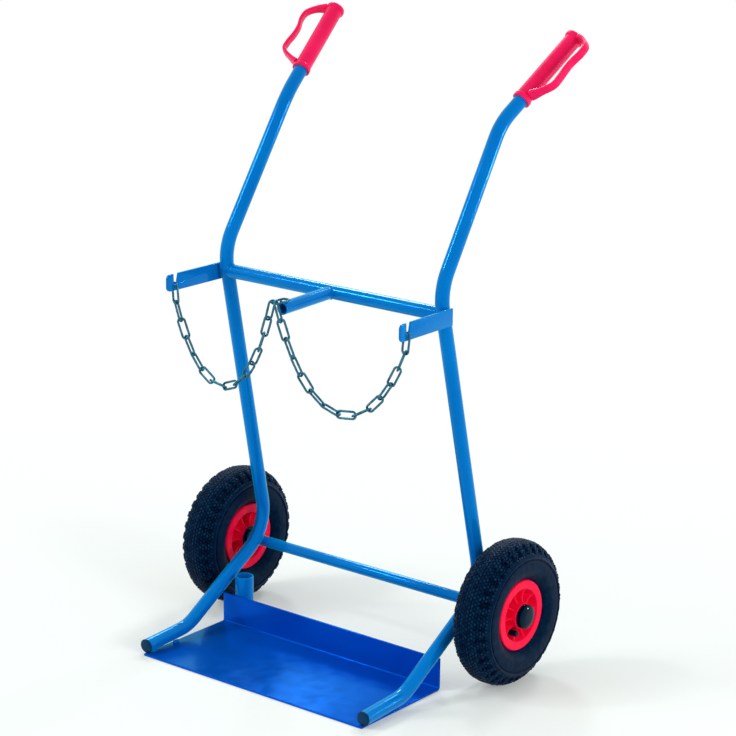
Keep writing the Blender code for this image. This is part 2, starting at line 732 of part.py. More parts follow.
# Grips: a handle with a collar and an end knob, the guard joined to both, then the bore for the tube
grip_bore = clear_of(TUBE_R, GRIP_SIDES)
grip_profile = [
    (0.0, GRIP_LENGTH),
    (KNOB_R * 0.70, GRIP_LENGTH - 0.0008),
    (KNOB_R, GRIP_LENGTH - 0.0035),
    (KNOB_R, GRIP_LENGTH - KNOB_L + 0.0020),
    (GRIP_R, GRIP_LENGTH - KNOB_L),
    (GRIP_R, COLLAR_L + 0.0020),
    (COLLAR_R, COLLAR_L),
    (COLLAR_R, 0.0),
    (0.0, 0.0),
]
bore_top = GRIP_LENGTH - GRIP_END_WALL


def ribbon(line, thickness):
    """The outline of a strip of even thickness along a line of (along, out) points, as (out, along)."""
    spots = np.array([(out, along) for along, out in line])
    way = np.gradient(spots, axis=0)
    way /= np.linalg.norm(way, axis=1)[:, None]
    normal = np.stack([-way[:, 1], way[:, 0]], axis=1) * thickness / 2
    return [tuple(p) for p in np.concatenate([spots + normal, (spots - normal)[::-1]])]


for side, word in ((-1, "left"), (1, "right")):
    along = mirrored(grip_way, side)
    base = mirrored(handle_bend + grip_way * GRIP_START, side)
    outward = (Vector((side, 0.0, 0.0)) - along * along.x * side).normalized()
    upward = outward.cross(along) * side
    lift = math.radians(GUARD_LIFT)
    guard_line = [(share * GRIP_LENGTH, out) for share, out in zip(GUARD_SHARES, GUARD_REACHES)]
    place = frame_matrix(along, outward * math.cos(lift) + upward * math.sin(lift), base)
    grip = turned(word + "_grip", grip_profile, GRIP_SIDES, "red", place, ring=False)
    stand = Matrix(((1, 0, 0, 0), (0, 0, -1, 0), (0, 1, 0, 0), (0, 0, 0, 1)))
    guard = sheet(word + "_guard", ribbon(guard_line, GUARD_T), GUARD_W / 2, place @ stand)
    boolean(grip, add_cutter(word + "_guard", guard), "UNION")
    bore_ends = [base - along * BORE_RUNOUT, base + along * bore_top]
    bore = swept(word + "_grip_bore", bore_ends, grip_bore, GRIP_SIDES)
    boolean(grip, add_cutter(word + "_grip_bore", bore), "DIFFERENCE")

bpy.context.view_layer.update()
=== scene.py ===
"""Looks of the two-bottle gas cylinder cart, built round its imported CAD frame.

Metres, Z up. The toe is at -Y, the wheels and the grips are at +Y, and the toe plate's underside is centred
on the origin. Each new piece is a surface worked out with numpy. It stands for the CAD node that it replaces,
or adds weld beads or a knuckle guard.
"""

import math

import bpy
import numpy as np
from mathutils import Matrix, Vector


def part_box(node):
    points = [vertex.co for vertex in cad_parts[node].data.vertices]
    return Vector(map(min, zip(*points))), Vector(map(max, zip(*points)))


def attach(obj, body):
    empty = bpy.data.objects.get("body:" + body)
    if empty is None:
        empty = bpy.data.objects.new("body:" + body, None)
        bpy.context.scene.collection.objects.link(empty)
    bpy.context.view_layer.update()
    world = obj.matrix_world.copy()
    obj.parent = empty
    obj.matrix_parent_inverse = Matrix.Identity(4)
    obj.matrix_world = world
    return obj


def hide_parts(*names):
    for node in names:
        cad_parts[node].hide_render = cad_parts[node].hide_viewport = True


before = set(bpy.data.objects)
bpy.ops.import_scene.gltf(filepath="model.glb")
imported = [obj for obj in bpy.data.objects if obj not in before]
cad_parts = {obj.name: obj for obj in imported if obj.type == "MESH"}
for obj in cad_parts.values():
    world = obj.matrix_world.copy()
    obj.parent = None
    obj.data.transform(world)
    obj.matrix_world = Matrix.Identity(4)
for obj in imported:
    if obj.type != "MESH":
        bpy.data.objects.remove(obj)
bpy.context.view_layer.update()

TAU = 2.0 * math.pi
SIDES = ((-1, "left"), (1, "right"))
X_WAY = np.array([1.0, 0.0, 0.0])
Y_WAY = np.array([0.0, 1.0, 0.0])
Z_WAY = np.array([0.0, 0.0, 1.0])

# Room between neighbouring pieces, and the radius of the small flat that closes a turned piece on its axis
FIT = 0.0003
POLE_R = 0.0004
SMALL_POLE_R = 0.0003

# Bent side tubes, from the toe to the grip
TUBE_R = 0.0125
TUBE_WALL = 0.0020
TUBE_SIDES = 40
TUBE_RUN = 0.06
TOE_X = 0.2490
TOE_END_Y = -0.1010
TOE_RISE = 0.0062
TOE_BEND_Y = 0.0063
AXLE_BEND = (0.2490, 0.2244, 0.1550)
UPPER_BEND = (0.2397, 0.1022, 0.7100)
HANDLE_BEND = (0.2353, 0.2692, 0.9691)
GRIP_SPLAY = math.radians(10.0)
GRIP_PITCH = math.radians(36.9)
BEND_RADII = (0.090, 0.082, 0.090, 0.140)
BEND_STEPS = 22

# Weld beads: their radius, the length of one ripple, and the share of an open bead over which each end tapers
WELD_R = 0.0017
WELD_RIPPLE = 0.0030
WELD_SWELL = 0.10
WELD_TAPER = 0.125
WELD_TIP = 0.02
WELD_SIDES = 12

# Toe plate
PLATE_W = 0.5000
PLATE_D = 0.2170
PLATE_T = 0.0040
FLANGE_TOP = 0.0590
FOLD_R = 0.0070
PLATE_EDGE = 0.0009
PLATE_SIDE_EDGE = 0.0007
PLATE_SHARP = 35.0

# Rod socket, and its welds on each side
SOCKET_R = 0.01685
SOCKET_WALL = 0.0026
SOCKET_FLOOR = 0.0030
SOCKET_X = -0.2170
SOCKET_BOTTOM = 0.0120
SOCKET_TOP = 0.0932
SOCKET_RADII = (0.0012, 0.0009, 0.0009, 0.0012)
CUP_WELD_R = 0.0019
CUP_WELD_POINTS = 60
CUP_WELD_OUT = 0.0068
CUP_WELD_BACK = 0.0012
CUP_WELD_FROM = SOCKET_BOTTOM + 0.003
CUP_WELD_TO = FLANGE_TOP - 0.002

# Toe plugs
PLUG_HEAD = 0.0042
PLUG_INSERT = 0.0120
PLUG_LIP = 0.0004
PLUG_FACE = 0.80
PLUG_DOME = 0.0006
PLUG_CHAMFER = 0.0016
PLUG_RADII = (0.004, 0.0010, 0.0004, 0.0004, 0.001)

# Toe welds: from Y, to Y, how far inside the tube's middle, how high over the plate, and the radius
TOE_WELDS = (
    (-0.0960, -0.0800, 0.0062, 0.0006, 0.0022),
    (-0.0390, -0.0240, 0.0056, 0.0016, 0.0028),
)
TOE_WELD_POINTS = 40

# Crossbar and stub
CROSS_R = 0.0125
CROSS_Z = 0.6697
STUB_R = 0.01125
STUB_END_Y = -0.0207
STUB_DROP = math.radians(1.8)
BAR_SIDES = 72
CROSS_RINGS = 9
STUB_RINGS = 6
BAR_RIPPLE = 0.0032

# Slotted arms
ARM_H = 0.0300
ARM_T = 0.0040
ARM_TOP = 0.6829
ARM_TIP_Y = -0.0290
ARM_REAR_Y = 0.1155
ARM_SPLAY = math.radians(0.9)
ARM_REAR_R = 0.001
ARM_TIP_R = 0.0080
ARM_EDGE = 0.0006
SLOT_Y = -0.0086
SLOT_W = 0.0070
SLOT_FLARE = 0.0008
SLOT_REAR_FLARE = 0.0045
SLOT_DEPTH = 0.0195
SLOT_LIP_R = 0.0008
SLOT_FLOOR_R = 0.0032
ARM_WELD_MARGIN = 0.002
ARM_WELD_POINTS = 48
ARM_WELD_IN = 0.0012
ARM_WELD_OUT = 0.0066

# Chain wire, and the eye with its welds
WIRE_R = 0.0020
WIRE_SIDES = 14
LINK_COUNT = 14
LINK_LENGTH = 0.0412
LINK_WIDTH = 0.0160
LINK_ARC_POINTS = 17
LINK_STRAIGHT_POINTS = 11
BUTT_REACH = 0.0024
BUTT_SWELL = 0.09
EYE_LENGTH = 0.0385
EYE_WIDTH = 0.0200
EYE_FRONT_Y = -0.0440
EYE_WELD_R = 0.0016
EYE_WELD_POINTS = 30
EYE_WELD_RIPPLE = 0.0028
EYE_WELD_FROM = 0.0065
EYE_WELD_TO = 0.0120
EYE_WELD_IN = 0.0018
EYE_WELD_SINK = 0.0006

# Axle, its spacers and the weld where it touches a tube's bend
AXLE_R = 0.0100
AXLE_Y = 0.214115
AXLE_Z = 0.1300
AXLE_HALF = 0.3564
AXLE_EDGE = 0.0010
SPACER_R = 0.0140
SPACER_EDGE = 0.0008
AXLE_WELD_X = 0.0072
AXLE_WELD_T = 0.0066
AXLE_WELD_POINTS = 90

# Wheels
WHEEL_X = 0.3137
WHEEL_R = 0.1300
BARREL_R = 0.0525
BARREL_HALF = 0.0245
LIP_R = 0.0625
LIP_HALF = 0.0302
LIP_INNER_R = 0.0470
LIP_SLOPE = 0.0004
DISH_SLOPE = 0.0035
WEB_HALF = 0.0090
HUB_R = 0.0230
HUB_HALF = 0.0335
HUB_BORE = 0.0175
HUB_SLOPE = 0.0012
RIM_RADII = (0.0008, 0.0008, 0.0026, 0.0020, 0.0040, 0.0026, 0.0016, 0.0008)
RIM_RUN = 0.0022
RIB_COUNT = 10
RIB_TOP = 0.0235
RIB_DIP = 0.0038
RIB_DIP_R = 0.0350
RIB_DIP_HALF = 0.0120
RIB_GAP_LINES = 10
RIB_OFFSETS = np.array([0.4, 1.0, 1.35, 1.6, 1.9, 2.6, 3.4]) * 0.001
RIB_SHARES = np.array([1.0, 0.99, 0.90, 0.60, 0.20, 0.05, 0.0])
BUSH_FLANGE_R = 0.0215
BUSH_FLANGE_T = 0.0024
BUSH_GAP = 0.0006
BUSH_DEPTH = 0.016
BUSH_EDGE = 0.0006
WASHER_R = 0.0165
WASHER_T = 0.0020
WASHER_GAP = 0.0005
WASHER_EDGE = 0.0005
CAP_R = 0.0215
CAP_H = 0.0080
CAP_GRIP = 0.0040
CAP_FROM = 0.0390
CAP_CROWN_R = 0.62
CAP_CROWN_H = 0.93
CAP_BRIM_H = 0.52
CAP_RADII = (0.030, 0.0030, 0.0006, 0.0006, 0.0004)
VALVE_R = 0.0052
VALVE_TOP = 0.0355
VALVE_OUT = 0.0334
VALVE_ANGLE = math.radians(234.5)
VALVE_TIP = 0.86
VALVE_NECK = 0.80
VALVE_SKIRT = 1.15
VALVE_CHAMFER = 0.0016
VALVE_CAP_FROM = 0.0120
VALVE_NECK_FROM = 0.0040
VALVE_NECK_TO = 0.0112
VALVE_RADII = (0.0008, 0.0008, 0.0005, 0.0004, 0.0012, 0.0004)

# Tyre section: its angles are from the crown, and its powers square the curve up
TYRE_HALF = 0.0390
TYRE_MID_R = 0.0890
CROWN_TO = math.radians(66.0)
CROWN_ROWS = 42
UPPER_WALL_TO = math.radians(80.0)
UPPER_WALL_ROWS = 12
LOWER_WALL_TO = math.radians(142.0)
LOWER_WALL_ROWS = 11
WIDTH_POWER = 2 / 2.4
CROWN_POWER = 2 / 2.2
FOOT_POWER = 2 / 2.55
FOOT_FALL = 0.0300
BEAD_H = 0.0242

# Tread: small slanted blocks in staggered rows over the crown, and lugs over the shoulders
TREAD_BLOCKS = 108
BLOCK_POINTS = 7
BLOCK_SLANT = 0.45
BLOCK_EDGE = (0.24, 0.40)
BLOCK_LEAST = 0.60
TREAD_ROW_W = 0.0054
ROW_EDGE = (0.26, 0.42)
TREAD_DEPTH = 0.0018
SHOULDER_TO = 0.0460
SHOULDER_EDGE = (SHOULDER_TO - 0.0040, SHOULDER_TO + 0.0015)
LUG_COUNT = 36
LUG_DEPTH = 0.0040
LUG_AT_R = 0.125
LUG_HALF = 0.0062
LUG_EDGE = (LUG_HALF - 0.0008, LUG_HALF + 0.0012)
LUG_FROM = 0.0180
LUG_TO = 0.0450
LUG_FADE = 0.0060
LUCK_WAVES = (12.9898, 78.233)
LUCK_SCALE = 43758.5453

# Tyre walls: a ridge, a groove and a foot ring, with how far each stands out
WALL_RIDGE_R = 0.1030
WALL_RIDGE_H = 0.0014
WALL_GROOVE_R = 0.1000
WALL_GROOVE_H = -0.0010
WALL_FOOT_R = 0.0790
WALL_FOOT_H = 0.0008
WALL_RING_W = 0.0012

# Dust and painted shade on the tyre, from 0 for dark to 1 for pale, which a wall ring or a lug gap changes by
# a share of itself
# The tread's floor, the lug gaps and the wall's groove ring are painted dark as shade, and the wall's ridge
# ring light as a highlight
WALL_SHADE = 0.30
WALL_RIDGE_PAINTED_HIGHLIGHT = 0.5
WALL_GROOVE_PAINTED_SHADE = -0.8
TREAD_FLOOR_PAINTED_SHADE = 0.12
BLOCK_SHADE = 0.15
BLOCK_SHADE_SPREAD = 0.75
LUG_GAP_PAINTED_SHADE = 0.4

# Grips with their guards, measured along the grip from its lower end
GRIP_START = 0.0570
GRIP_LENGTH = 0.1608
GRIP_R = 0.0147
GRIP_TAPER = 0.0002
GRIP_END_WALL = 0.0040
GRIP_RUN = 0.006
GRIP_RADII = (0.0030, 0.0010, 0.0016, 0.0016, 0.0006, 0.0010, 0.0004, 0.0008)
COLLAR_R = 0.0165
COLLAR_L = 0.0070
COLLAR_SLOPE = 0.0016
KNOB_R = 0.0172
KNOB_L = 0.0095
KNOB_SLOPE = 0.0014
GUARD_LIFT = math.radians(15.0)
GUARD_T = 0.0062
GUARD_W = 0.0140
GUARD_POINTS = 130
GUARD_SIDES = 28
GUARD_SQUARE = 0.45
GUARD_FLARE = 0.45
GUARD_FLARE_POINTS = 12.0
GUARD_LINE = (
    (0.0138, 0.0142), (0.0232, 0.0309), (0.0386, 0.0502), (0.0578, 0.0512), (0.0772, 0.0480),
    (0.0969, 0.0474), (0.1180, 0.0511), (0.1361, 0.0482), (0.1494, 0.0333), (0.1562, 0.0150),
)

# Camera fitted to the photograph, for an image 736 pixels wide
CAMERA_TURN = math.radians(38.634)
CAMERA_RISE = math.radians(15.814)
CAMERA_ROLL = math.radians(0.552)
CAMERA_DISTANCE = 4.46439
CAMERA_TARGET = (0.00001, 0.21256, 0.51146)
CAMERA_FOCUS_PIXELS = 2524.5
CAMERA_SENSOR = 36.0
IMAGE_PIXELS = 736.0

# Floor, whose share of plain white grows from a near distance to a far one, and the even light all round
FLOOR_HALF = 40.0
FLOOR_COLOUR = (0.725, 0.785, 0.755)
FLOOR_NEAR = 0.6
FLOOR_FAR = 1.8
FLOOR_NEAR_WHITE = 0.18
WORLD_LEVEL = 0.58

# Lamps: name, spot, aim, size, power, and whether reflections show it
LAMPS = (
    ("key_softbox", (-2.6, -2.9, 2.6), (0.0, 0.1, 0.6), 2.4, 90.0, False),
    ("edge_lamp", (-2.8, -2.2, 3.6), (0.0, 0.1, 0.6), 0.45, 26.0, True),
    ("back_softbox", (-0.3, 3.2, 3.1), (0.0, 0.2, 0.5), 0.7, 45.0, True),
    ("far_softbox", (-2.7, 2.7, 3.3), (0.0, 0.2, 0.5), 0.7, 45.0, True),
    ("side_softbox", (3.4, -0.4, 1.5), (0.0, 0.1, 0.4), 1.4, 62.0, False),
    ("window_lamp", (3.0, 2.9, 0.50), (0.36, 0.21, 0.13), 0.25, 16.0, True),
)


# Working out surfaces


def unit(vectors):
    """Vectors divided by their length."""
    vectors = np.asarray(vectors, float)
    return vectors / np.linalg.norm(vectors, axis=-1, keepdims=True)


def ease(value, low, high):
    """0 below low, 1 above high, and 3 t squared less 2 t cubed between them."""
    share = np.clip((value - low) / (high - low), 0.0, 1.0)
    return share * share * (3.0 - 2.0 * share)


def luck_of(first, second):
    """A share that looks random and is the same each run: the decimals of a large multiple of a sine."""
    return np.sin(LUCK_WAVES[0] * first + LUCK_WAVES[1] * second) * LUCK_SCALE % 1.0


def ways_along(path, closed):
    """The direction at each point of a path: from the point before it to the point after it."""
    if closed:
        return unit(np.roll(path, -1, axis=0) - np.roll(path, 1, axis=0))
    padded = np.concatenate([path[:1], path, path[-1:]])
    return unit(padded[2:] - padded[:-2])


def rounded(corners, radii, steps, closed):
    """Corners with an arc in place of each.

    An arc's centre lies on the corner's bisector, at the radius over the cosine of half the turn.
    """
    corners = np.asarray(corners, float)
    inner = corners if closed else corners[1:-1]
    before = np.roll(corners, 1, axis=0) if closed else corners[:-2]
    after = np.roll(corners, -1, axis=0) if closed else corners[2:]
    back = unit(before - inner)
    ahead = unit(after - inner)
    turn = math.pi - np.arccos(np.clip((back * ahead).sum(axis=1), -1.0, 1.0))
    radii = np.broadcast_to(np.asarray(radii, float), turn.shape)
    centre = inner + unit(back + ahead) * (radii / np.cos(turn / 2))[:, None]
    arm = inner + back * (radii * np.tan(turn / 2))[:, None] - centre
    swing = -back * radii[:, None]
    share = (turn[:, None] * np.linspace(0.0, 1.0, steps + 1))[..., None]
    arcs = centre[:, None] + np.cos(share) * arm[:, None] + np.sin(share) * swing[:, None]
    line = arcs.reshape(-1, corners.shape[1])
    return line if closed else np.concatenate([corners[:1], line, corners[-1:]])


def divided(line, longest):
    """A line with points added along it, so that none of its runs is much longer than the given length."""
    run = np.concatenate([[0.0], np.cumsum(np.linalg.norm(np.diff(line, axis=0), axis=1))])
    spots = np.union1d(run, np.arange(0.0, run[-1], longest))
    spots = spots[np.concatenate([[True], np.diff(spots) > 1e-6])]
    return np.stack([np.interp(spots, run, line[:, i]) for i in range(line.shape[1])], axis=1)


def flowing(spots, count):
    """A smooth line through spots.

    It is made of cubic pieces whose slope at a spot is half the step between the spot's neighbours.
    """
    spots = np.asarray(spots, float)
    padded = np.concatenate([2 * spots[:1] - spots[1:2], spots, 2 * spots[-1:] - spots[-2:-1]])
    place = np.linspace(0.0, len(spots) - 1.0, count)
    first = np.minimum(place.astype(int), len(spots) - 2)
    t = (place - first)[:, None]
    a, b, c, d = (padded[first + i] for i in range(4))
    return 0.5 * (2 * b + (c - a) * t + (2 * a - 5 * b + 4 * c - d) * t**2 + (3 * b - a - 3 * c + d) * t**3)


def grid_shell(points, close_rows=False, cap_ends=False):
    """A grid of points as four-cornered faces between neighbouring rows and columns.

    The last column joins the first, and so do the rows if asked. The end rows get a flat face each if asked.
    """
    rows, columns = points.shape[:2]
    row = np.arange(rows if close_rows else rows - 1)[:, None]
    column = np.arange(columns)[None, :]
    next_row = (row + 1) % rows * columns
    next_column = (column + 1) % columns
    quads = np.stack([
        row * columns + column,
        row * columns + next_column,
        next_row + next_column,
        next_row + column,
    ], axis=-1).reshape(-1, 4)
    ends = []
    if cap_ends:
        ends = [np.arange(columns)[::-1], np.arange((rows - 1) * columns, rows * columns)]
    return points.reshape(-1, 3), quads, ends


def facing_out(shell):
    """A shell with its faces turned round if the volume that they enclose comes out below zero."""
    points, quads, ends = shell
    fans = [np.stack([np.full(len(e) - 2, e[0]), e[1:-1], e[2:]], axis=1) for e in ends]
    corners = np.concatenate([quads[:, [0, 1, 2]], quads[:, [0, 2, 3]], *fans])
    a, b, c = (points[corners[:, i]] - points.mean(axis=0) for i in range(3))
    if (a * np.cross(b, c)).sum() < 0.0:
        return points, quads[:, ::-1], [e[::-1] for e in ends]
    return shell


def carried(path, across, wide, tall, sides, closed=False, power=1.0):
    """A section carried along a path. Each ring is the point + wide cos(a) first + tall sin(a) second.

    Second is across made square to the path, and first is square to both. A power below 1 squares the
    section up.
    """
    way = ways_along(path, closed)
    across = np.broadcast_to(np.asarray(across, float), path.shape)
    second = unit(across - (across * way).sum(axis=1, keepdims=True) * way)
    first = np.cross(second, way)
    angle = np.linspace(0.0, TAU, sides, endpoint=False)
    cosine = np.sign(np.cos(angle)) * np.abs(np.cos(angle)) ** power
    sine = np.sign(np.sin(angle)) * np.abs(np.sin(angle)) ** power
    wide = np.broadcast_to(np.asarray(wide, float), len(path))[:, None, None]
    tall = np.broadcast_to(np.asarray(tall, float), len(path))[:, None, None]
    ring = wide * cosine[:, None] * first[:, None] + tall * sine[:, None] * second[:, None]
    return path[:, None] + ring


def hollow(outer, inner):
    """Two nested grids of rings joined at both ends into one closed wall."""
    return grid_shell(np.concatenate([outer, inner[::-1]]), close_rows=True)


def lathed(line, centre, axis, sides, closed=False):
    """A line of (radius, height) pairs turned about an axis.

    Each point is centre + height axis + radius (cos(a) first + sin(a) second).
    """
    axis = unit(axis)
    first = unit(np.cross(axis, Y_WAY if abs(axis[1]) < 0.9 else Z_WAY))
    second = np.cross(axis, first)
    angle = np.linspace(0.0, TAU, sides, endpoint=False)[None, :, None]
    line = np.asarray(line, float)
    ring = np.cos(angle) * first + np.sin(angle) * second
    points = np.asarray(centre, float) + line[:, None, 1:] * axis + line[:, None, :1] * ring
    return grid_shell(points, close_rows=closed, cap_ends=not closed)


def edged_plate(outline, half, edge, place):
    """A flat outline thickened both ways, its rim rounded: at angle t it is inset by edge (1 - cos t).

    Place turns local (x, y, height) rows into world points.
    """
    way = ways_along(outline, True)
    inward = np.stack([-way[:, 1], way[:, 0]], axis=1)
    after = np.roll(outline, -1, axis=0)
    area = (outline[:, 0] * after[:, 1] - after[:, 0] * outline[:, 1]).sum()
    inward *= math.copysign(1.0, area)
    quarter = np.radians([90.0, 60.0, 30.0, 0.0])
    turn = np.concatenate([-quarter, quarter[::-1]])
    face = np.repeat([-1.0, 1.0], len(quarter))
    height = face * (half - edge) + edge * np.sin(turn)
    inset = edge * (1.0 - np.cos(turn))
    flat = outline[None] + inset[:, None, None] * inward[None]
    tall = np.broadcast_to(height[:, None, None], (*flat.shape[:2], 1))
    return grid_shell(place(np.concatenate([flat, tall], axis=2)), cap_ends=True)


def meeting(starts, way, post_point, post_way, post_r):
    """How far each start runs along way before it meets a round post.

    The nearer root of the quadratic that puts the point one radius from the post's line.
    """
    post_way = unit(post_way)
    way = np.asarray(way, float)
    offset = starts - np.asarray(post_point, float)
    offset = offset - (offset @ post_way)[:, None] * post_way
    slide = way - (way @ post_way) * post_way
    square = slide @ slide
    middle = offset @ slide
    rest = (offset * offset).sum(axis=1) - post_r**2
    return (-middle - np.sqrt(np.maximum(middle**2 - square * rest, 0.0))) / square


def bead(path, outward, radius, ripple, closed):
    """A weld bead: a round section along the seam, whose radius swells by a tenth once every ripple.

    An open bead's ends taper with the square root of the distance from the end.
    """
    steps = np.diff(path, axis=0, prepend=path[-1:] if closed else path[:1])
    run = np.linalg.norm(steps, axis=1).cumsum()
    waves = max(1.0, round(run[-1] / ripple))
    swell = radius * (1.0 + WELD_SWELL * np.cos(TAU * waves * run / run[-1]))
    if not closed:
        share = np.linspace(0.0, 1.0, len(path))
        swell = swell * np.sqrt(np.clip(np.minimum(share, 1.0 - share) / WELD_TAPER, WELD_TIP, 1.0))
    points = carried(path, outward, swell, swell, sides=WELD_SIDES, closed=closed)
    return grid_shell(points, close_rows=closed, cap_ends=not closed)


# Finishes


def fill(node, values):
    """Sets a node's sockets to the given values."""
    for socket, value in values.items():
        node.inputs[socket].default_value = value


def worked(operation, first, second):
    """A Math node's result for two values."""
    tree = first.id_data
    node = tree.nodes.new("ShaderNodeMath")
    node.operation = operation
    tree.links.new(first, node.inputs[0])
    tree.links.new(second, node.inputs[1])
    return node.outputs["Value"]


def spread(value, from_low, from_high, to_low, to_high):
    """A value taken from one range to another, and held at the ends."""
    tree = value.id_data
    node = tree.nodes.new("ShaderNodeMapRange")
    fill(node, {"From Min": from_low, "From Max": from_high, "To Min": to_low, "To Max": to_high})
    tree.links.new(value, node.inputs["Value"])
    return node.outputs["Result"]


def finish_base(name, colour, metallic, roughness):
    """A new node material with a Principled shader and Object coordinates."""
    made = bpy.data.materials.new(name)
    made.use_nodes = True
    made.diffuse_color = (*colour, 1.0)
    nodes = made.node_tree.nodes
    shader = nodes["Principled BSDF"]
    fill(shader, {"Base Color": (*colour, 1.0), "Metallic": metallic, "Roughness": roughness})
    coordinates = nodes.new("ShaderNodeTexCoord")
    return made, shader, coordinates.outputs["Object"]


def sheen(shader, level, colour):
    """How strong the surface reflection is, and its colour."""
    fill(shader, {"Specular IOR Level": level, "Specular Tint": (*colour, 1.0)})


def grazing(shader, weight, colour):
    """A soft light of its own colour where the surface turns away."""
    fill(shader, {"Sheen Weight": weight, "Sheen Tint": (*colour, 1.0), "Sheen Roughness": 0.40})


def noise(place, scale, detail):
    """A noise texture on Object coordinates, with scale in waves per metre."""
    tree = place.id_data
    node = tree.nodes.new("ShaderNodeTexNoise")
    fill(node, {"Scale": scale, "Detail": detail})
    tree.links.new(place, node.inputs["Vector"])
    return node.outputs["Fac"]


def tint(shader, value, dark, pale, low=0.35, high=0.65):
    """Base colour that runs from dark to pale as a value runs from low to high."""
    tree = shader.id_data
    ramp = tree.nodes.new("ShaderNodeValToRGB")
    ramp.color_ramp.elements[0].position = low
    ramp.color_ramp.elements[0].color = (*dark, 1.0)
    ramp.color_ramp.elements[1].position = high
    ramp.color_ramp.elements[1].color = (*pale, 1.0)
    tree.links.new(value, ramp.inputs["Fac"])
    tree.links.new(ramp.outputs["Color"], shader.inputs["Base Color"])


def gloss(shader, value, low, high):
    """Roughness that runs from low to high over the middle of a value's range."""
    shader.id_data.links.new(spread(value, 0.3, 0.7, low, high), shader.inputs["Roughness"])


def relief(shader, value, strength, height=0.0002):
    """Bump from a value, with its height in metres."""
    tree = shader.id_data
    node = tree.nodes.new("ShaderNodeBump")
    fill(node, {"Strength": strength, "Distance": height})
    tree.links.new(value, node.inputs["Height"])
    tree.links.new(node.outputs["Normal"], shader.inputs["Normal"])


def blue_enamel(name, dark, pale, flake, level, glint, edge, rough):
    """Glossy blue enamel: a slow drift of shade, a share of metal flake, a tinted sheen and a faint peel."""
    made, shader, place = finish_base(name, pale, flake, rough)
    sheen(shader, level, glint)
    grazing(shader, edge, (0.0, 0.74, 0.80))
    tint(shader, noise(place, scale=9.0, detail=2.0), dark, pale)
    gloss(shader, noise(place, scale=40.0, detail=2.0), rough * 0.8, rough * 1.3)
    relief(shader, noise(place, scale=250.0, detail=2.0), strength=0.002)
    return made


def moulded_red(name, dark, pale, low, high, level):
    """Red moulded plastic: a slight drift of shade, a pinkish sheen and a fine grain."""
    made, shader, place = finish_base(name, pale, metallic=0.0, roughness=(low + high) / 2)
    sheen(shader, level, (1.0, 0.10, 0.60))
    grazing(shader, weight=0.15, colour=(1.0, 0.05, 0.60))
    tint(shader, noise(place, scale=22.0, detail=2.0), dark, pale)
    gloss(shader, noise(place, scale=90.0, detail=3.0), low, high)
    relief(shader, noise(place, scale=900.0, detail=2.0), strength=0.05)
    return made


def tyre_rubber():
    """Black rubber with a bluish sheen and a grain, dusty on its blocks, with painted shade in its grooves
    and a painted highlight on the wall ridge.
    """
    made, shader, place = finish_base(
        "tyre_rubber_black", (0.001, 0.018, 0.046), metallic=0.0, roughness=0.45,
    )
    sheen(shader, level=0.08, colour=(0.05, 0.60, 1.0))
    # The dust and painted shade that each point of the tyre carries
    dust_and_shade_attribute = made.node_tree.nodes.new("ShaderNodeAttribute")
    dust_and_shade_attribute.attribute_name = "tread_dust_and_shade"
    cloud = spread(noise(place, scale=110.0, detail=4.0), 0.25, 0.75, -0.16, 0.16)
    dust_and_shade = worked("ADD", dust_and_shade_attribute.outputs["Fac"], cloud)
    tint(shader, dust_and_shade, (0.0001, 0.001, 0.013), (0.0040, 0.028, 0.066), low=0.10, high=0.90)
    gloss(shader, dust_and_shade, low=0.50, high=0.27)
    relief(shader, noise(place, scale=900.0, detail=4.0), strength=0.15, height=0.0003)
    return made


def black_plastic(name, dark, pale):
    """Black moulded plastic with a smooth bluish sheen and a fine grain."""
    made, shader, place = finish_base(name, dark, metallic=0.0, roughness=0.25)
    sheen(shader, level=0.16, colour=(0.20, 0.75, 0.95))
    tint(shader, noise(place, scale=60.0, detail=3.0), dark, pale)
    gloss(shader, noise(place, scale=150.0, detail=3.0), low=0.07, high=0.11)
    relief(shader, noise(place, scale=1200.0, detail=3.0), strength=0.03)
    return made


def zinc_steel():
    """Dull plated wire: metal whose shade and gloss change in small patches."""
    made, shader, place = finish_base("zinc_steel", (0.04, 0.15, 0.22), metallic=1.0, roughness=0.36)
    sheen(shader, level=0.5, colour=(0.55, 0.85, 0.95))
    patches = noise(place, scale=160.0, detail=4.0)
    tint(shader, patches, (0.015, 0.100, 0.155), (0.070, 0.235, 0.305), low=0.30, high=0.70)
    gloss(shader, noise(place, scale=240.0, detail=3.0), low=0.28, high=0.46)
    relief(shader, noise(place, scale=1100.0, detail=3.0), strength=0.12)
    return made


PAINT = blue_enamel(
    "blue_enamel", dark=(0.0006, 0.136, 0.485), pale=(0.0008, 0.156, 0.525), flake=0.20, level=0.20,
    glint=(0.05, 0.90, 0.90), edge=0.65, rough=0.10,
)
# The plate is the same enamel as the tubes. Its darker, deeper-blue colours are painted shade for the plate's
# top, and its flake, gloss and sheen are its own
SHADED_PLATE_PAINT = blue_enamel(
    "blue_enamel_plate_painted_shade", dark=(0.0004, 0.072, 0.520), pale=(0.0006, 0.082, 0.560), flake=0.50, level=0.04,
    glint=(0.0, 1.0, 0.40), edge=0.10, rough=0.19,
)
GRIP_RED = moulded_red(
    "grip_red", dark=(0.74, 0.008, 0.078), pale=(0.82, 0.012, 0.100), low=0.28, high=0.38, level=0.30,
)
RIM_RED = moulded_red(
    "rim_red", dark=(0.82, 0.003, 0.036), pale=(0.90, 0.005, 0.050), low=0.28, high=0.40, level=0.10,
)
RUBBER = tyre_rubber()
CAP_BLACK = black_plastic("moulded_black", dark=(0.0006, 0.004, 0.014), pale=(0.0012, 0.006, 0.022))
PLUG_BLACK = black_plastic("moulded_black_plug", dark=(0.0004, 0.021, 0.066), pale=(0.0010, 0.031, 0.092))
ZINC = zinc_steel()


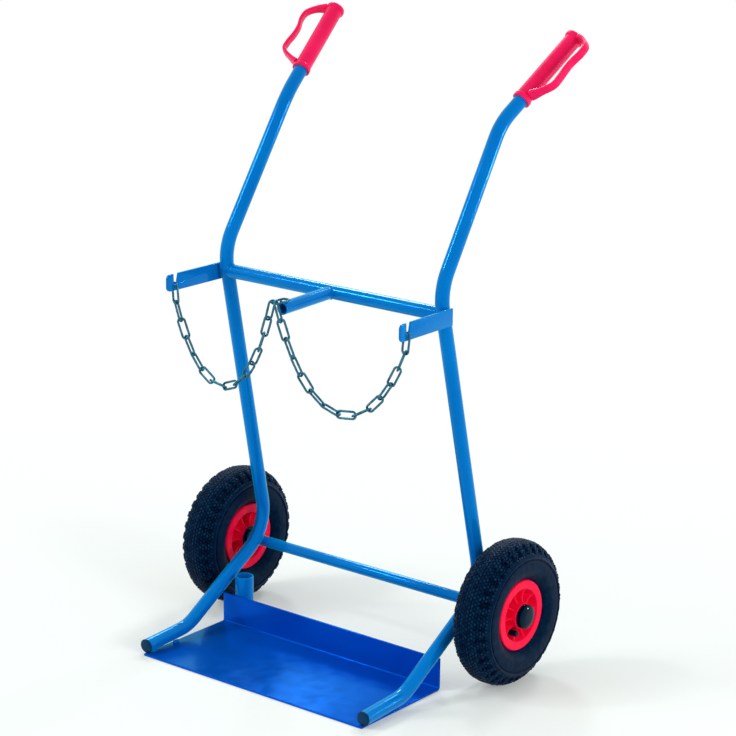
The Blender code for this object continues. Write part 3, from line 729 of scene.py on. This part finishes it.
def add_piece(name, shells, finish, body, slot, *nodes, sharp=40.0, dust_and_shade=None):
    """One mesh object at the origin from its shells. Its slot argument is not used.

    It is tied to its body and the nodes that it stands for. Edges that turn by more than sharp degrees stay
    sharp. Dust and painted shade are kept as a float on each point, which the rubber reads.
    """
    points, faces, start = [], [], 0
    for spots, quads, ends in map(facing_out, shells):
        points.append(spots)
        faces += (quads + start).tolist() + [(e + start).tolist() for e in ends]
        start += len(spots)
    mesh = bpy.data.meshes.new(name)
    mesh.from_pydata(np.concatenate(points).tolist(), [], faces)
    mesh.shade_smooth()
    mesh.set_sharp_from_angle(angle=math.radians(sharp))
    mesh.materials.append(finish)
    if dust_and_shade is not None:
        mesh.attributes.new("tread_dust_and_shade", "FLOAT", "POINT").data.foreach_set("value", dust_and_shade)
    made = bpy.data.objects.new(name, mesh)
    bpy.context.scene.collection.objects.link(made)
    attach(made, body)
    if nodes:
        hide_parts(*nodes)


def painted(name, shells, *nodes):
    """An enamelled piece of the welded frame."""
    add_piece(name, shells, PAINT, "frame", "frame_paint", *nodes)


# Side tubes

toe_z = PLATE_T + FIT + TUBE_R
grip_way = np.array([
    math.sin(GRIP_SPLAY) * math.cos(GRIP_PITCH),
    math.cos(GRIP_SPLAY) * math.cos(GRIP_PITCH),
    math.sin(GRIP_PITCH),
])
grip_base = np.array(HANDLE_BEND) + grip_way * GRIP_START
tube_corners = np.array([
    (TOE_X, TOE_END_Y, toe_z),
    (TOE_X, TOE_BEND_Y, toe_z + TOE_RISE),
    AXLE_BEND,
    UPPER_BEND,
    HANDLE_BEND,
    grip_base + grip_way * (GRIP_LENGTH - GRIP_END_WALL - FIT),
])
post_way = unit(np.array(UPPER_BEND) - np.array(AXLE_BEND))


def post_at(height):
    """The point of the right-hand tube's leaning run at a height."""
    low, high = np.array(AXLE_BEND), np.array(UPPER_BEND)
    return low + (high - low) * ((height - low[2]) / (high[2] - low[2]))


for side, word in SIDES:
    path = rounded(tube_corners * (side, 1, 1), BEND_RADII, BEND_STEPS, closed=False)
    path = divided(path, TUBE_RUN)
    rings = [carried(path, X_WAY, r, r, sides=TUBE_SIDES) for r in (TUBE_R, TUBE_R - TUBE_WALL)]
    painted(word + "_frame_tube", [hollow(*rings)], word + "_side_tube")

# Crossbar and stub, their ends shaped to the tube that they meet, with weld beads round the seams

cross_at = post_at(CROSS_Z)
cross_middle = np.array([0.0, cross_at[1], CROSS_Z])
bar_turn = np.linspace(0.0, TAU, BAR_SIDES, endpoint=False)[:, None]


def bar_ring(radius, centre, first, second):
    """Points round a bar: centre + radius (cos(a) first + sin(a) second)."""
    return np.asarray(centre) + radius * (np.cos(bar_turn) * first + np.sin(bar_turn) * second)


cross_rings = []
for radius in (CROSS_R, CROSS_R - TUBE_WALL):
    middle = bar_ring(radius, cross_middle, Y_WAY, Z_WAY)
    reach = meeting(middle, X_WAY, cross_at, post_way, TUBE_R)[:, None]
    stations = np.linspace(-1.0, 1.0, CROSS_RINGS)[:, None, None]
    cross_rings.append(middle[None] + stations * (reach * X_WAY)[None])
painted("upper_crossbar", [hollow(*cross_rings)], "crossbar")
cross_welds = []
for seam in (cross_rings[0][0], cross_rings[0][-1]):
    cross_welds.append(bead(seam, (seam - cross_middle) * (0, 1, 1), WELD_R, BAR_RIPPLE, closed=True))
painted("crossbar_welds", cross_welds)

stub_back = np.array([0.0, math.cos(STUB_DROP), math.sin(STUB_DROP)])
stub_up = np.array([0.0, -math.sin(STUB_DROP), math.cos(STUB_DROP)])


def along_stub(y):
    """The point of the stub's axis at a Y."""
    return cross_middle + stub_back * ((y - cross_at[1]) / math.cos(STUB_DROP))


stub_rings = []
for radius in (STUB_R, STUB_R - TUBE_WALL):
    front = bar_ring(radius, along_stub(STUB_END_Y), X_WAY, stub_up)
    reach = meeting(front, stub_back, cross_middle, X_WAY, CROSS_R)[:, None]
    stations = np.linspace(0.0, 1.0, STUB_RINGS)[:, None, None]
    stub_rings.append(front[None] + stations * (reach * stub_back)[None])
painted("middle_stub", [hollow(*stub_rings)], "stub_tube")
seam = stub_rings[0][-1]
painted("stub_weld", [bead(seam, (seam - cross_middle) * (1, 0, 1), WELD_R, BAR_RIPPLE, closed=True)])

# Toe plate

rear = PLATE_D / 2
section = [
    (-rear, 0.0), (rear, 0.0), (rear, FLANGE_TOP), (rear - PLATE_T, FLANGE_TOP), (rear - PLATE_T, PLATE_T),
    (-rear, PLATE_T),
]
section_radii = (PLATE_EDGE, FOLD_R, PLATE_EDGE, PLATE_EDGE, FOLD_R - PLATE_T, PLATE_EDGE)
section_line = rounded(section, section_radii, steps=8, closed=True)


def along_x(local):
    """Local (x, y, height) to world (height, x, y)."""
    return local[..., [2, 0, 1]]


plate = edged_plate(section_line, PLATE_W / 2, PLATE_SIDE_EDGE, along_x)
add_piece("folded_toe_plate", [plate], SHADED_PLATE_PAINT, "frame", "frame_paint", "toe_plate", sharp=PLATE_SHARP)

# Rod socket, with a weld on each side where it meets the flange

socket_y = rear + FIT + SOCKET_R
socket_bore = SOCKET_R - SOCKET_WALL
socket_floor = SOCKET_BOTTOM + SOCKET_FLOOR
socket_line = rounded([
    (POLE_R, socket_floor), (socket_bore, socket_floor), (socket_bore, SOCKET_TOP), (SOCKET_R, SOCKET_TOP),
    (SOCKET_R, SOCKET_BOTTOM), (POLE_R, SOCKET_BOTTOM),
], SOCKET_RADII, steps=5, closed=False)
painted("rod_cup", [lathed(socket_line, (SOCKET_X, socket_y, 0.0), Z_WAY, sides=56)], "rod_socket")
cup_welds = []
for side in (-1, 1):
    x, y = SOCKET_X + side * CUP_WELD_OUT, rear + CUP_WELD_BACK
    seam = np.linspace((x, y, CUP_WELD_FROM), (x, y, CUP_WELD_TO), CUP_WELD_POINTS)
    cup_welds.append(bead(seam, X_WAY, CUP_WELD_R, WELD_RIPPLE, closed=False))
painted("rod_cup_welds", cup_welds)

# Toe plugs

plug_top = FIT + PLUG_HEAD
plug_r = TUBE_R + PLUG_LIP
plug_neck = TUBE_R - TUBE_WALL - FIT
plug_line = rounded([
    (SMALL_POLE_R, plug_top), (TUBE_R * PLUG_FACE, plug_top - PLUG_DOME), (plug_r, plug_top - PLUG_CHAMFER),
    (plug_r, FIT), (plug_neck, FIT), (plug_neck, -PLUG_INSERT), (SMALL_POLE_R, -PLUG_INSERT),
], PLUG_RADII, steps=5, closed=False)
for side, word in SIDES:
    spot = tube_corners[0] * (side, 1, 1)
    way = spot - tube_corners[1] * (side, 1, 1)
    plug = lathed(plug_line, spot, way, sides=56)
    add_piece(word + "_toe_cap", [plug], PLUG_BLACK, "frame", "black_plastic", word + "_toe_plug")

# Welds between the toe tubes and the plate: two short runs on the inner side

for side, word in SIDES:
    toe_welds = []
    for from_y, to_y, inside, over, radius in TOE_WELDS:
        x, z = side * (TOE_X - inside), PLATE_T + over
        seam = np.linspace((x, from_y, z), (x, to_y, z), TOE_WELD_POINTS)
        toe_welds.append(bead(seam, Z_WAY, radius, WELD_RIPPLE, closed=False))
    painted(word + "_toe_welds", toe_welds)

# Slotted arms, each with a weld in front of and behind the tube that it lies against

arm_bottom = ARM_TOP - ARM_H
slot_bottom = ARM_TOP - SLOT_DEPTH
slot_front, slot_rear = SLOT_Y - SLOT_W / 2, SLOT_Y + SLOT_W / 2
arm_corners = [
    (ARM_REAR_Y, arm_bottom), (ARM_REAR_Y, ARM_TOP), (slot_rear + SLOT_REAR_FLARE, ARM_TOP),
    (slot_rear, slot_bottom), (slot_front, slot_bottom), (slot_front - SLOT_FLARE, ARM_TOP),
    (ARM_TIP_Y, ARM_TOP), (ARM_TIP_Y, arm_bottom),
]
arm_radii = (
    ARM_REAR_R, ARM_REAR_R, SLOT_LIP_R, SLOT_FLOOR_R, SLOT_FLOOR_R, SLOT_LIP_R, ARM_TIP_R, ARM_TIP_R,
)
arm_line = rounded(arm_corners, arm_radii, steps=8, closed=True)
arm_at = post_at(ARM_TOP - ARM_H / 2)
arm_x = 2 * arm_at[0] - post_at(ARM_TOP)[0] + TUBE_R + FIT + ARM_T / 2


def arm_place(side):
    """Turns an arm's own (along Y, up, through) into world points, splayed about the tube."""
    lean = side * ARM_SPLAY

    def place(local):
        y, z, x = local[..., 0] - arm_at[1], local[..., 1], local[..., 2]
        world_x = side * arm_x + x * math.cos(lean) - y * math.sin(lean)
        world_y = arm_at[1] + x * math.sin(lean) + y * math.cos(lean)
        return np.stack([world_x, world_y, z], axis=-1)

    return place


for side, word in SIDES:
    arm = edged_plate(arm_line, ARM_T / 2, ARM_EDGE, arm_place(side))
    painted(word + "_slotted_arm", [arm], word + "_arm")
    arm_welds = []
    for step in (-1, 1):
        height = np.linspace(arm_bottom + ARM_WELD_MARGIN, ARM_TOP - ARM_WELD_MARGIN, ARM_WELD_POINTS)
        seam = post_at(0.0) + (height / post_way[2])[:, None] * post_way
        seam = (seam + (TUBE_R - ARM_WELD_IN, 0.0, 0.0)) * (side, 1, 1) + (0.0, step * ARM_WELD_OUT, 0.0)
        arm_welds.append(bead(seam, Y_WAY, WELD_R, WELD_RIPPLE, closed=False))
    painted(word + "_arm_welds", arm_welds)

# Chain and eye


def link_shell(centre, along, across, length, width):
    """A link's closed wire: a round section along two half circles and the two straights between them.

    Round the butt weld, at the middle of one straight, the wire swells as exp(-(x / BUTT_REACH) squared).
    """
    bow = width / 2 - WIRE_R
    reach = length / 2 - WIRE_R - bow
    arc = np.linspace(-math.pi / 2, math.pi / 2, LINK_ARC_POINTS)
    straight = np.linspace(1.0, -1.0, LINK_STRAIGHT_POINTS + 2)[1:-1] * reach
    level = np.full(LINK_STRAIGHT_POINTS, bow)
    x = np.concatenate([reach + bow * np.cos(arc), straight, -reach - bow * np.cos(arc), -straight])
    y = np.concatenate([bow * np.sin(arc), level, -bow * np.sin(arc), -level])
    path = np.asarray(centre) + x[:, None] * along + y[:, None] * across
    near_weld = np.exp(-((x / BUTT_REACH) ** 2)) * (y > 0.9 * bow)
    wire = WIRE_R * (1.0 + BUTT_SWELL * near_weld)
    rings = carried(path, np.cross(along, across), wire, wire, sides=WIRE_SIDES, closed=True)
    return grid_shell(rings, close_rows=True)


def link_axes(node):
    """Middle, long way and wide way of a link's CAD solid.

    They are the middle of the solid's box and its points' two widest principal directions.
    """
    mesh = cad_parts[node].data
    spots = np.zeros(len(mesh.vertices) * 3)
    mesh.vertices.foreach_get("co", spots)
    spots = np.unique(np.round(spots.reshape(-1, 3), 6), axis=0)
    middle = (spots.min(axis=0) + spots.max(axis=0)) / 2
    directions = np.linalg.eigh(np.cov((spots - spots.mean(axis=0)).T))[1]
    return middle, directions[:, 2], directions[:, 1]


for side, word in SIDES:
    for number in range(1, LINK_COUNT + 1):
        node = "%s_link_%02d" % (word, number)
        link = link_shell(*link_axes(node), LINK_LENGTH, LINK_WIDTH)
        add_piece("%s_chain_link_%02d" % (word, number), [link], ZINC, word + "_chain", "chain_steel", node)
eye_middle = along_stub(EYE_FRONT_Y + EYE_LENGTH / 2) + stub_up * (STUB_R + FIT + WIRE_R)
eye = link_shell(eye_middle, stub_back, X_WAY, EYE_LENGTH, EYE_WIDTH)
add_piece("stub_eye", [eye], ZINC, "frame", "chain_steel", "chain_eye")
eye_welds = []
for side in (-1, 1):
    back = np.linspace(EYE_WELD_FROM, EYE_WELD_TO, EYE_WELD_POINTS)[:, None]
    beside = EYE_WIDTH / 2 - WIRE_R - EYE_WELD_IN
    drop = STUB_R - math.sqrt(STUB_R**2 - beside**2) + WIRE_R - EYE_WELD_SINK
    seam = eye_middle + back * stub_back + side * beside * X_WAY - drop * stub_up
    eye_welds.append(bead(seam, Z_WAY, EYE_WELD_R, EYE_WELD_RIPPLE, closed=False))
painted("eye_welds", eye_welds)

# Axle and spacers, with a weld round each place where the axle touches a tube's bend

axle_at = (0.0, AXLE_Y, AXLE_Z)
axle_line = rounded([
    (POLE_R, AXLE_HALF), (AXLE_R, AXLE_HALF), (AXLE_R, -AXLE_HALF), (POLE_R, -AXLE_HALF),
], AXLE_EDGE, steps=4, closed=False)
painted("wheel_axle", [lathed(axle_line, axle_at, X_WAY, sides=48)], "axle")
spacer_low, spacer_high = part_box("right_spacer")
low, high = spacer_low[0], spacer_high[0]
bore = AXLE_R + FIT
spacer_corners = [(bore, low), (SPACER_R, low), (SPACER_R, high), (bore, high)]
spacer_line = rounded(spacer_corners, SPACER_EDGE, steps=4, closed=True)
for side, word in SIDES:
    spacer = lathed(spacer_line, axle_at, X_WAY * side, sides=48, closed=True)
    painted(word + "_axle_spacer", [spacer], word + "_spacer")
bend_line = rounded(tube_corners, BEND_RADII, BEND_STEPS, closed=False)
nearest = bend_line[np.argmin(np.hypot(bend_line[:, 1] - AXLE_Y, bend_line[:, 2] - AXLE_Z))]
toward = unit(np.array([0.0, AXLE_Y - nearest[1], AXLE_Z - nearest[2]]))
beside = np.cross(toward, X_WAY)
loop = np.linspace(0.0, TAU, AXLE_WELD_POINTS, endpoint=False)
weld_x, weld_t = AXLE_WELD_X * np.cos(loop), AXLE_WELD_T * np.sin(loop)
tube_drop = TUBE_R - np.sqrt(TUBE_R**2 - weld_x**2)
axle_drop = AXLE_R - np.sqrt(AXLE_R**2 - weld_t**2)
rise = TUBE_R + (axle_drop - tube_drop) / 2
for side, word in SIDES:
    middle = nearest + rise[:, None] * toward + weld_t[:, None] * beside
    seam = middle * (side, 1, 1) + weld_x[:, None] * X_WAY
    outward = weld_x[:, None] * X_WAY + weld_t[:, None] * beside
    painted(word + "_axle_weld", [bead(seam, outward, WELD_R, WELD_RIPPLE, closed=True)])

# Wheels


def tyre_section():
    """Radius, height and running length from the crown of each row of the tyre's section.

    A superellipse: at angle p from the crown the height goes as sin(p) to the width power, and the radius
    above the widest place as cos(p) to the crown power. Below that place it falls as -cos(p) to the foot
    power.
    """
    crown = np.linspace(0.0, CROWN_TO, CROWN_ROWS)
    upper_wall = np.linspace(CROWN_TO, UPPER_WALL_TO, UPPER_WALL_ROWS + 1)[1:]
    lower_wall = np.linspace(UPPER_WALL_TO, LOWER_WALL_TO, LOWER_WALL_ROWS + 1)[1:]
    half = np.concatenate([crown, upper_wall, lower_wall])
    p = np.concatenate([-half[:0:-1], half])
    height = TYRE_HALF * np.sign(np.sin(p)) * np.abs(np.sin(p)) ** WIDTH_POWER
    above = (WHEEL_R - TYRE_MID_R) * np.clip(np.cos(p), 0.0, None) ** CROWN_POWER
    below = FOOT_FALL * np.clip(-np.cos(p), 0.0, None) ** FOOT_POWER
    radius = TYRE_MID_R + above - below
    run = np.concatenate([[0.0], np.hypot(np.diff(radius), np.diff(height)).cumsum()])
    return radius, height, run - run[len(run) // 2]


def tread_pattern(run, around):
    """Shares from 0 to 1 at each point: block, the block's luck, the treaded part, and the gaps between lugs.

    A block is where a point lies near the middle both along its row and across it. Every other row is moved
    by half a block, and the rows' blocks slant one way and the other by turns.
    """
    away = np.abs(run)[:, None]
    row = np.round(run / TREAD_ROW_W)
    off_row = (run / TREAD_ROW_W - row)[:, None]
    slant = np.where(row % 2 == 0, BLOCK_SLANT, -BLOCK_SLANT)[:, None]
    place = around * TREAD_BLOCKS / TAU + ((row % 2 * 0.5)[:, None] + slant * off_row)
    off_block = np.abs(place % 1.0 - 0.5)
    block = (1.0 - ease(off_block, *BLOCK_EDGE)) * (1.0 - ease(np.abs(off_row), *ROW_EDGE))
    luck = luck_of(np.floor(place) % TREAD_BLOCKS, row[:, None])
    treaded = 1.0 - ease(away, *SHOULDER_EDGE)
    step = (run > 0.0)[:, None] * 0.5
    off_lug = np.abs((around * LUG_COUNT / TAU + step) % 1.0 - 0.5) * TAU * LUG_AT_R / LUG_COUNT
    shoulder = ease(away, LUG_FROM, LUG_FROM + LUG_FADE) * (1.0 - ease(away, LUG_TO - LUG_FADE, LUG_TO))
    return block, luck, treaded, ease(off_lug, *LUG_EDGE) * shoulder


def tyre_shell(centre, axis):
    """A tyre turned about its axis, its tread and wall rings pushed in or out along the section's normal.

    The tread sinks by its depth outside the blocks and by less on a block, as the block's luck has it, and by
    the lugs' depth in the gaps between lugs. A wall ring stands out as exp(-((r - ring r) / width) squared).
    Beside the shell comes each point's share of dust and painted shade: dark in the tread's floor, lug gaps
    and wall groove, light on the wall ridge.
    """
    section_r, section_h, run = tyre_section()
    slope_r, slope_h = np.gradient(section_r, run)[:, None], np.gradient(section_h, run)[:, None]
    around = np.linspace(0.0, TAU, TREAD_BLOCKS * BLOCK_POINTS, endpoint=False)[None]
    block, luck, treaded, gap = tread_pattern(run, around)
    stand = block * (BLOCK_LEAST + (1.0 - BLOCK_LEAST) * luck)
    sink = TREAD_DEPTH * (1.0 - stand) * treaded + LUG_DEPTH * gap
    ridge, groove, foot = (
        np.exp(-(((section_r - ring_r) / WALL_RING_W) ** 2))
        for ring_r in (WALL_RIDGE_R, WALL_GROOVE_R, WALL_FOOT_R)
    )
    push = (WALL_RIDGE_H * ridge + WALL_GROOVE_H * groove + WALL_FOOT_H * foot)[:, None] - sink
    # The wall is painted dark in its groove ring and light on its ridge ring, as painted shade and painted
    # highlight
    wall_dust_and_shade = (WALL_SHADE * (1.0 + WALL_RIDGE_PAINTED_HIGHLIGHT * ridge + WALL_GROOVE_PAINTED_SHADE * groove))[:, None]
    # Blocks are dusty by their luck, and the tread's floor and the lug gaps are painted dark as shade
    block_dust_and_shade = block * (BLOCK_SHADE + BLOCK_SHADE_SPREAD * luck) * (1.0 - LUG_GAP_PAINTED_SHADE * gap)
    dust_and_shade = wall_dust_and_shade + (TREAD_FLOOR_PAINTED_SHADE + block_dust_and_shade - wall_dust_and_shade) * treaded
    radius = section_r[:, None] + push * slope_h
    height = section_h[:, None] - push * slope_r
    bead_rows = np.array([(BARREL_R + FIT, BEAD_H), (BARREL_R + FIT, -BEAD_H)])
    radius = np.concatenate([radius, np.repeat(bead_rows[:, :1], around.size, axis=1)])
    height = np.concatenate([height, np.repeat(bead_rows[:, 1:], around.size, axis=1)])
    dust_and_shade = np.concatenate([dust_and_shade, np.full((2, around.size), WALL_SHADE)])
    ring = np.cos(around)[..., None] * Y_WAY + np.sin(around)[..., None] * Z_WAY
    points = centre + height[..., None] * axis + radius[..., None] * ring
    return grid_shell(points, close_rows=True), dust_and_shade.ravel()


def rim_shell(centre, axis, first_rib):
    """A rim turned about its axis, its dish raised into ribs.

    Lines of the grid beside a rib keep a fixed distance w from its middle, at angle asin(w / r). A point of
    the dish rises towards the rib's top by a share that falls from 1 on the rib to 0 at its foot.
    """
    corners = [
        (BARREL_R, 0.0), (BARREL_R, BARREL_HALF), (LIP_R, BARREL_HALF), (LIP_R, LIP_HALF),
        (LIP_INNER_R, LIP_HALF - LIP_SLOPE), (LIP_INNER_R - DISH_SLOPE, WEB_HALF),
        (HUB_R + HUB_SLOPE, WEB_HALF), (HUB_R, HUB_HALF), (HUB_BORE, HUB_HALF), (HUB_BORE, 0.0),
    ]
    half = divided(rounded(corners, RIM_RADII, steps=6, closed=False), RIM_RUN)
    r = np.concatenate([half[:, 0], half[-2:0:-1, 0]])
    h = np.concatenate([half[:, 1], -half[-2:0:-1, 1]])
    w = np.concatenate([-RIB_OFFSETS[::-1], RIB_OFFSETS])
    share = np.concatenate([RIB_SHARES[::-1], RIB_SHARES])
    sector = TAU / RIB_COUNT
    beside = np.arcsin(np.clip(w[None] / r[:, None], -1.0, 1.0))
    between = np.linspace(0.0, 1.0, RIB_GAP_LINES + 2)[1:-1]
    foot = beside[:, -1:]
    angles = np.concatenate([beside, foot + (sector - 2 * foot) * between[None]], axis=1)
    ribs = np.arange(RIB_COUNT)[None, :, None] * sector
    angles = (angles[:, None] + first_rib + ribs).reshape(len(r), -1)
    lift = np.tile(np.concatenate([share, np.zeros(RIB_GAP_LINES)]), RIB_COUNT)
    rib_top = RIB_TOP + RIB_DIP * ((r - RIB_DIP_R) / RIB_DIP_HALF) ** 2
    room = np.clip(rib_top - np.abs(h), 0.0, None) * ((r < LIP_INNER_R) & (r > HUB_R))
    height = h[:, None] + np.sign(h)[:, None] * room[:, None] * lift[None]
    ring = np.cos(angles)[..., None] * Y_WAY + np.sin(angles)[..., None] * Z_WAY
    points = centre + height[..., None] * axis + r[:, None, None] * ring
    return grid_shell(points, close_rows=True)


bush_bore = AXLE_R + BUSH_GAP
bush_r = HUB_BORE - BUSH_GAP
bush_foot = HUB_HALF - BUSH_DEPTH
flange_foot = HUB_HALF + FIT
flange_top = flange_foot + BUSH_FLANGE_T
bush_line = rounded([
    (bush_bore, bush_foot), (bush_r, bush_foot), (bush_r, flange_foot), (BUSH_FLANGE_R, flange_foot),
    (BUSH_FLANGE_R, flange_top), (bush_bore, flange_top),
], BUSH_EDGE, steps=4, closed=True)
washer_low = flange_top + WASHER_GAP
washer_high = washer_low + WASHER_T
washer_corners = [(bore, washer_low), (WASHER_R, washer_low), (WASHER_R, washer_high), (bore, washer_high)]
washer_line = rounded(washer_corners, WASHER_EDGE, steps=3, closed=True)
cap_floor = CAP_FROM + CAP_GRIP + FIT
cap_line = rounded([
    (POLE_R, CAP_FROM + CAP_H), (CAP_R * CAP_CROWN_R, CAP_FROM + CAP_H * CAP_CROWN_H),
    (CAP_R, CAP_FROM + CAP_H * CAP_BRIM_H), (CAP_R, CAP_FROM), (bore, CAP_FROM), (bore, cap_floor),
    (POLE_R, cap_floor),
], CAP_RADII, steps=6, closed=False)
valve_foot = WEB_HALF + FIT
valve_line = rounded([
    (SMALL_POLE_R, VALVE_TOP), (VALVE_R * VALVE_TIP, VALVE_TOP), (VALVE_R, VALVE_TOP - VALVE_CHAMFER),
    (VALVE_R, valve_foot + VALVE_CAP_FROM), (VALVE_R * VALVE_NECK, valve_foot + VALVE_NECK_TO),
    (VALVE_R * VALVE_NECK, valve_foot + VALVE_NECK_FROM), (VALVE_R * VALVE_SKIRT, valve_foot),
    (SMALL_POLE_R, valve_foot),
], VALVE_RADII, steps=4, closed=False)
valve_away = np.array([0.0, math.cos(VALVE_ANGLE), math.sin(VALVE_ANGLE)]) * VALVE_OUT
first_rib = VALVE_ANGLE + math.pi / RIB_COUNT

for side, word in SIDES:
    centre = np.array([side * WHEEL_X, AXLE_Y, AXLE_Z])
    axis = X_WAY * side
    wheel = word + "_wheel"
    tyre, dust_and_shade = tyre_shell(centre, axis)
    add_piece(word + "_treaded_tyre", [tyre], RUBBER, wheel, "tyre_rubber", word + "_tyre", dust_and_shade=dust_and_shade)
    rim = rim_shell(centre, axis, first_rib)
    add_piece(word + "_ribbed_rim", [rim], RIM_RED, wheel, "rim_plastic", word + "_rim")
    for face, place in ((1, "outer"), (-1, "inner")):
        bush = lathed(bush_line, centre, axis * face, sides=56, closed=True)
        name = "%s_%s_bush" % (word, place)
        add_piece(name, [bush], CAP_BLACK, wheel, "black_plastic", "%s_%s_bearing" % (word, place))
    valve = lathed(valve_line, centre + valve_away, axis, sides=32)
    add_piece(word + "_valve_stem", [valve], CAP_BLACK, wheel, "valve_rubber", word + "_valve")
    washer = lathed(washer_line, centre, axis, sides=48, closed=True)
    add_piece(word + "_axle_washer", [washer], ZINC, "frame", "washer_steel", word + "_washer")
    cap = lathed(cap_line, centre, axis, sides=64)
    add_piece(word + "_end_cap", [cap], CAP_BLACK, "frame", "black_plastic", word + "_hub_cap")

# Grips

knob_foot = GRIP_LENGTH - KNOB_L
grip_bore = TUBE_R + FIT
grip_floor = GRIP_LENGTH - GRIP_END_WALL
grip_line = rounded([
    (POLE_R, GRIP_LENGTH), (KNOB_R, GRIP_LENGTH), (KNOB_R, knob_foot + KNOB_SLOPE), (GRIP_R, knob_foot),
    (GRIP_R + GRIP_TAPER, COLLAR_L + COLLAR_SLOPE), (COLLAR_R, COLLAR_L), (COLLAR_R, 0.0), (grip_bore, 0.0),
    (grip_bore, grip_floor), (POLE_R, grip_floor),
], GRIP_RADII, steps=6, closed=False)
grip_line = divided(grip_line, GRIP_RUN)
guard_line = flowing(GUARD_LINE, GUARD_POINTS)
guard_number = np.arange(GUARD_POINTS)
guard_end = np.minimum(guard_number, guard_number[::-1]) / GUARD_FLARE_POINTS
flare = 1.0 + GUARD_FLARE * np.exp(-(guard_end**2))
for side, word in SIDES:
    along = grip_way * (side, 1, 1)
    base = grip_base * (side, 1, 1)
    outward = unit(X_WAY * side - along * along[0] * side)
    upward = np.cross(outward, along) * side
    out = outward * math.cos(GUARD_LIFT) + upward * math.sin(GUARD_LIFT)
    handle = lathed(grip_line, base, along, sides=64)
    add_piece(word + "_grip_handle", [handle], GRIP_RED, "frame", "grip_plastic", word + "_grip")
    path = base + guard_line[:, :1] * along + guard_line[:, 1:] * out
    strap = carried(
        path, np.cross(along, out), GUARD_T / 2 * flare, GUARD_W / 2 * flare, sides=GUARD_SIDES,
        power=GUARD_SQUARE,
    )
    guard = grid_shell(strap, cap_ends=True)
    add_piece(word + "_knuckle_guard", [guard], GRIP_RED, "frame", "grip_plastic")

# Floor, light and camera


def stage_floor():
    """A wide pale floor whose own shade shows near the cart.

    Further off it is plain white to the camera and to reflections.
    """
    mesh = bpy.data.meshes.new("studio_floor")
    corners = [(x * FLOOR_HALF, y * FLOOR_HALF, 0.0) for x, y in ((-1, -1), (1, -1), (1, 1), (-1, 1))]
    mesh.from_pydata(corners, [], [(0, 1, 2, 3)])
    floor = bpy.data.objects.new("studio_floor", mesh)
    bpy.context.scene.collection.objects.link(floor)
    made, shader, place = finish_base("studio_floor_white", FLOOR_COLOUR, metallic=0.0, roughness=0.6)
    fill(shader, {"Specular IOR Level": 0.1})
    tree = made.node_tree
    plain = tree.nodes.new("ShaderNodeEmission")
    fill(plain, {"Color": (1.0, 1.0, 1.0, 1.0)})
    rays = tree.nodes.new("ShaderNodeLightPath")
    seen = worked("MAXIMUM", rays.outputs["Is Camera Ray"], rays.outputs["Is Glossy Ray"])
    distance = tree.nodes.new("ShaderNodeVectorMath")
    distance.operation = "LENGTH"
    tree.links.new(place, distance.inputs[0])
    white = spread(distance.outputs["Value"], FLOOR_NEAR, FLOOR_FAR, FLOOR_NEAR_WHITE, 1.0)
    mix = tree.nodes.new("ShaderNodeMixShader")
    tree.links.new(worked("MULTIPLY", seen, white), mix.inputs["Fac"])
    tree.links.new(shader.outputs["BSDF"], mix.inputs[1])
    tree.links.new(plain.outputs["Emission"], mix.inputs[2])
    tree.links.new(mix.outputs["Shader"], tree.nodes["Material Output"].inputs["Surface"])
    mesh.materials.append(made)


def studio_world(level):
    """A white surround to the camera, reflections and glass, and an even light of a level on the rest."""
    world = bpy.data.worlds.new("studio_white")
    world.use_nodes = True
    tree = world.node_tree
    rays = tree.nodes.new("ShaderNodeLightPath")
    seen = worked("MAXIMUM", rays.outputs["Is Camera Ray"], rays.outputs["Is Glossy Ray"])
    seen = worked("MAXIMUM", seen, rays.outputs["Is Transmission Ray"])
    background = tree.nodes["Background"]
    fill(background, {"Color": (1.0, 1.0, 1.0, 1.0)})
    tree.links.new(spread(seen, 0.0, 1.0, level, 1.0), background.inputs["Strength"])
    bpy.context.scene.world = world


def stand_at(made, right, up, back, spot):
    """Puts an object at a spot, its own axes along right, up and back, and links it to the scene."""
    matrix = np.eye(4)
    matrix[:3] = np.stack([right, up, back, spot], axis=1)
    made.matrix_world = matrix.T.tolist()
    bpy.context.scene.collection.objects.link(made)


def softbox(name, spot, aim, size, power, mirrored):
    """A square lamp at a spot, turned to face its aim, that reflections show or leave out."""
    lamp = bpy.data.lights.new(name, "AREA")
    lamp.shape = "SQUARE"
    lamp.size = size
    lamp.energy = power
    made = bpy.data.objects.new(name, lamp)
    made.visible_glossy = mirrored
    back = unit(np.array(spot) - np.array(aim))
    right = unit(np.cross(Z_WAY, back))
    stand_at(made, right, np.cross(back, right), back, spot)


def photo_camera():
    """A camera on the fitted bearing, its image axes turned by the fitted roll."""
    turn, rise = CAMERA_TURN, CAMERA_RISE
    back = np.array([
        math.sin(turn) * math.cos(rise), -math.cos(turn) * math.cos(rise), math.sin(rise),
    ])
    level = np.array([math.cos(turn), math.sin(turn), 0.0])
    above = np.cross(back, level)
    right = math.cos(CAMERA_ROLL) * level + math.sin(CAMERA_ROLL) * above
    up = math.cos(CAMERA_ROLL) * above - math.sin(CAMERA_ROLL) * level
    lens = bpy.data.cameras.new("photo_camera")
    lens.sensor_width = CAMERA_SENSOR
    lens.sensor_fit = "HORIZONTAL"
    lens.lens = lens.sensor_width * CAMERA_FOCUS_PIXELS / IMAGE_PIXELS
    made = bpy.data.objects.new("photo_camera", lens)
    stand_at(made, right, up, back, np.array(CAMERA_TARGET) + back * CAMERA_DISTANCE)
    bpy.context.scene.camera = made


bpy.context.scene.view_settings.view_transform = "Standard"
stage_floor()
studio_world(WORLD_LEVEL)
for lamp in LAMPS:
    softbox(*lamp)
photo_camera()
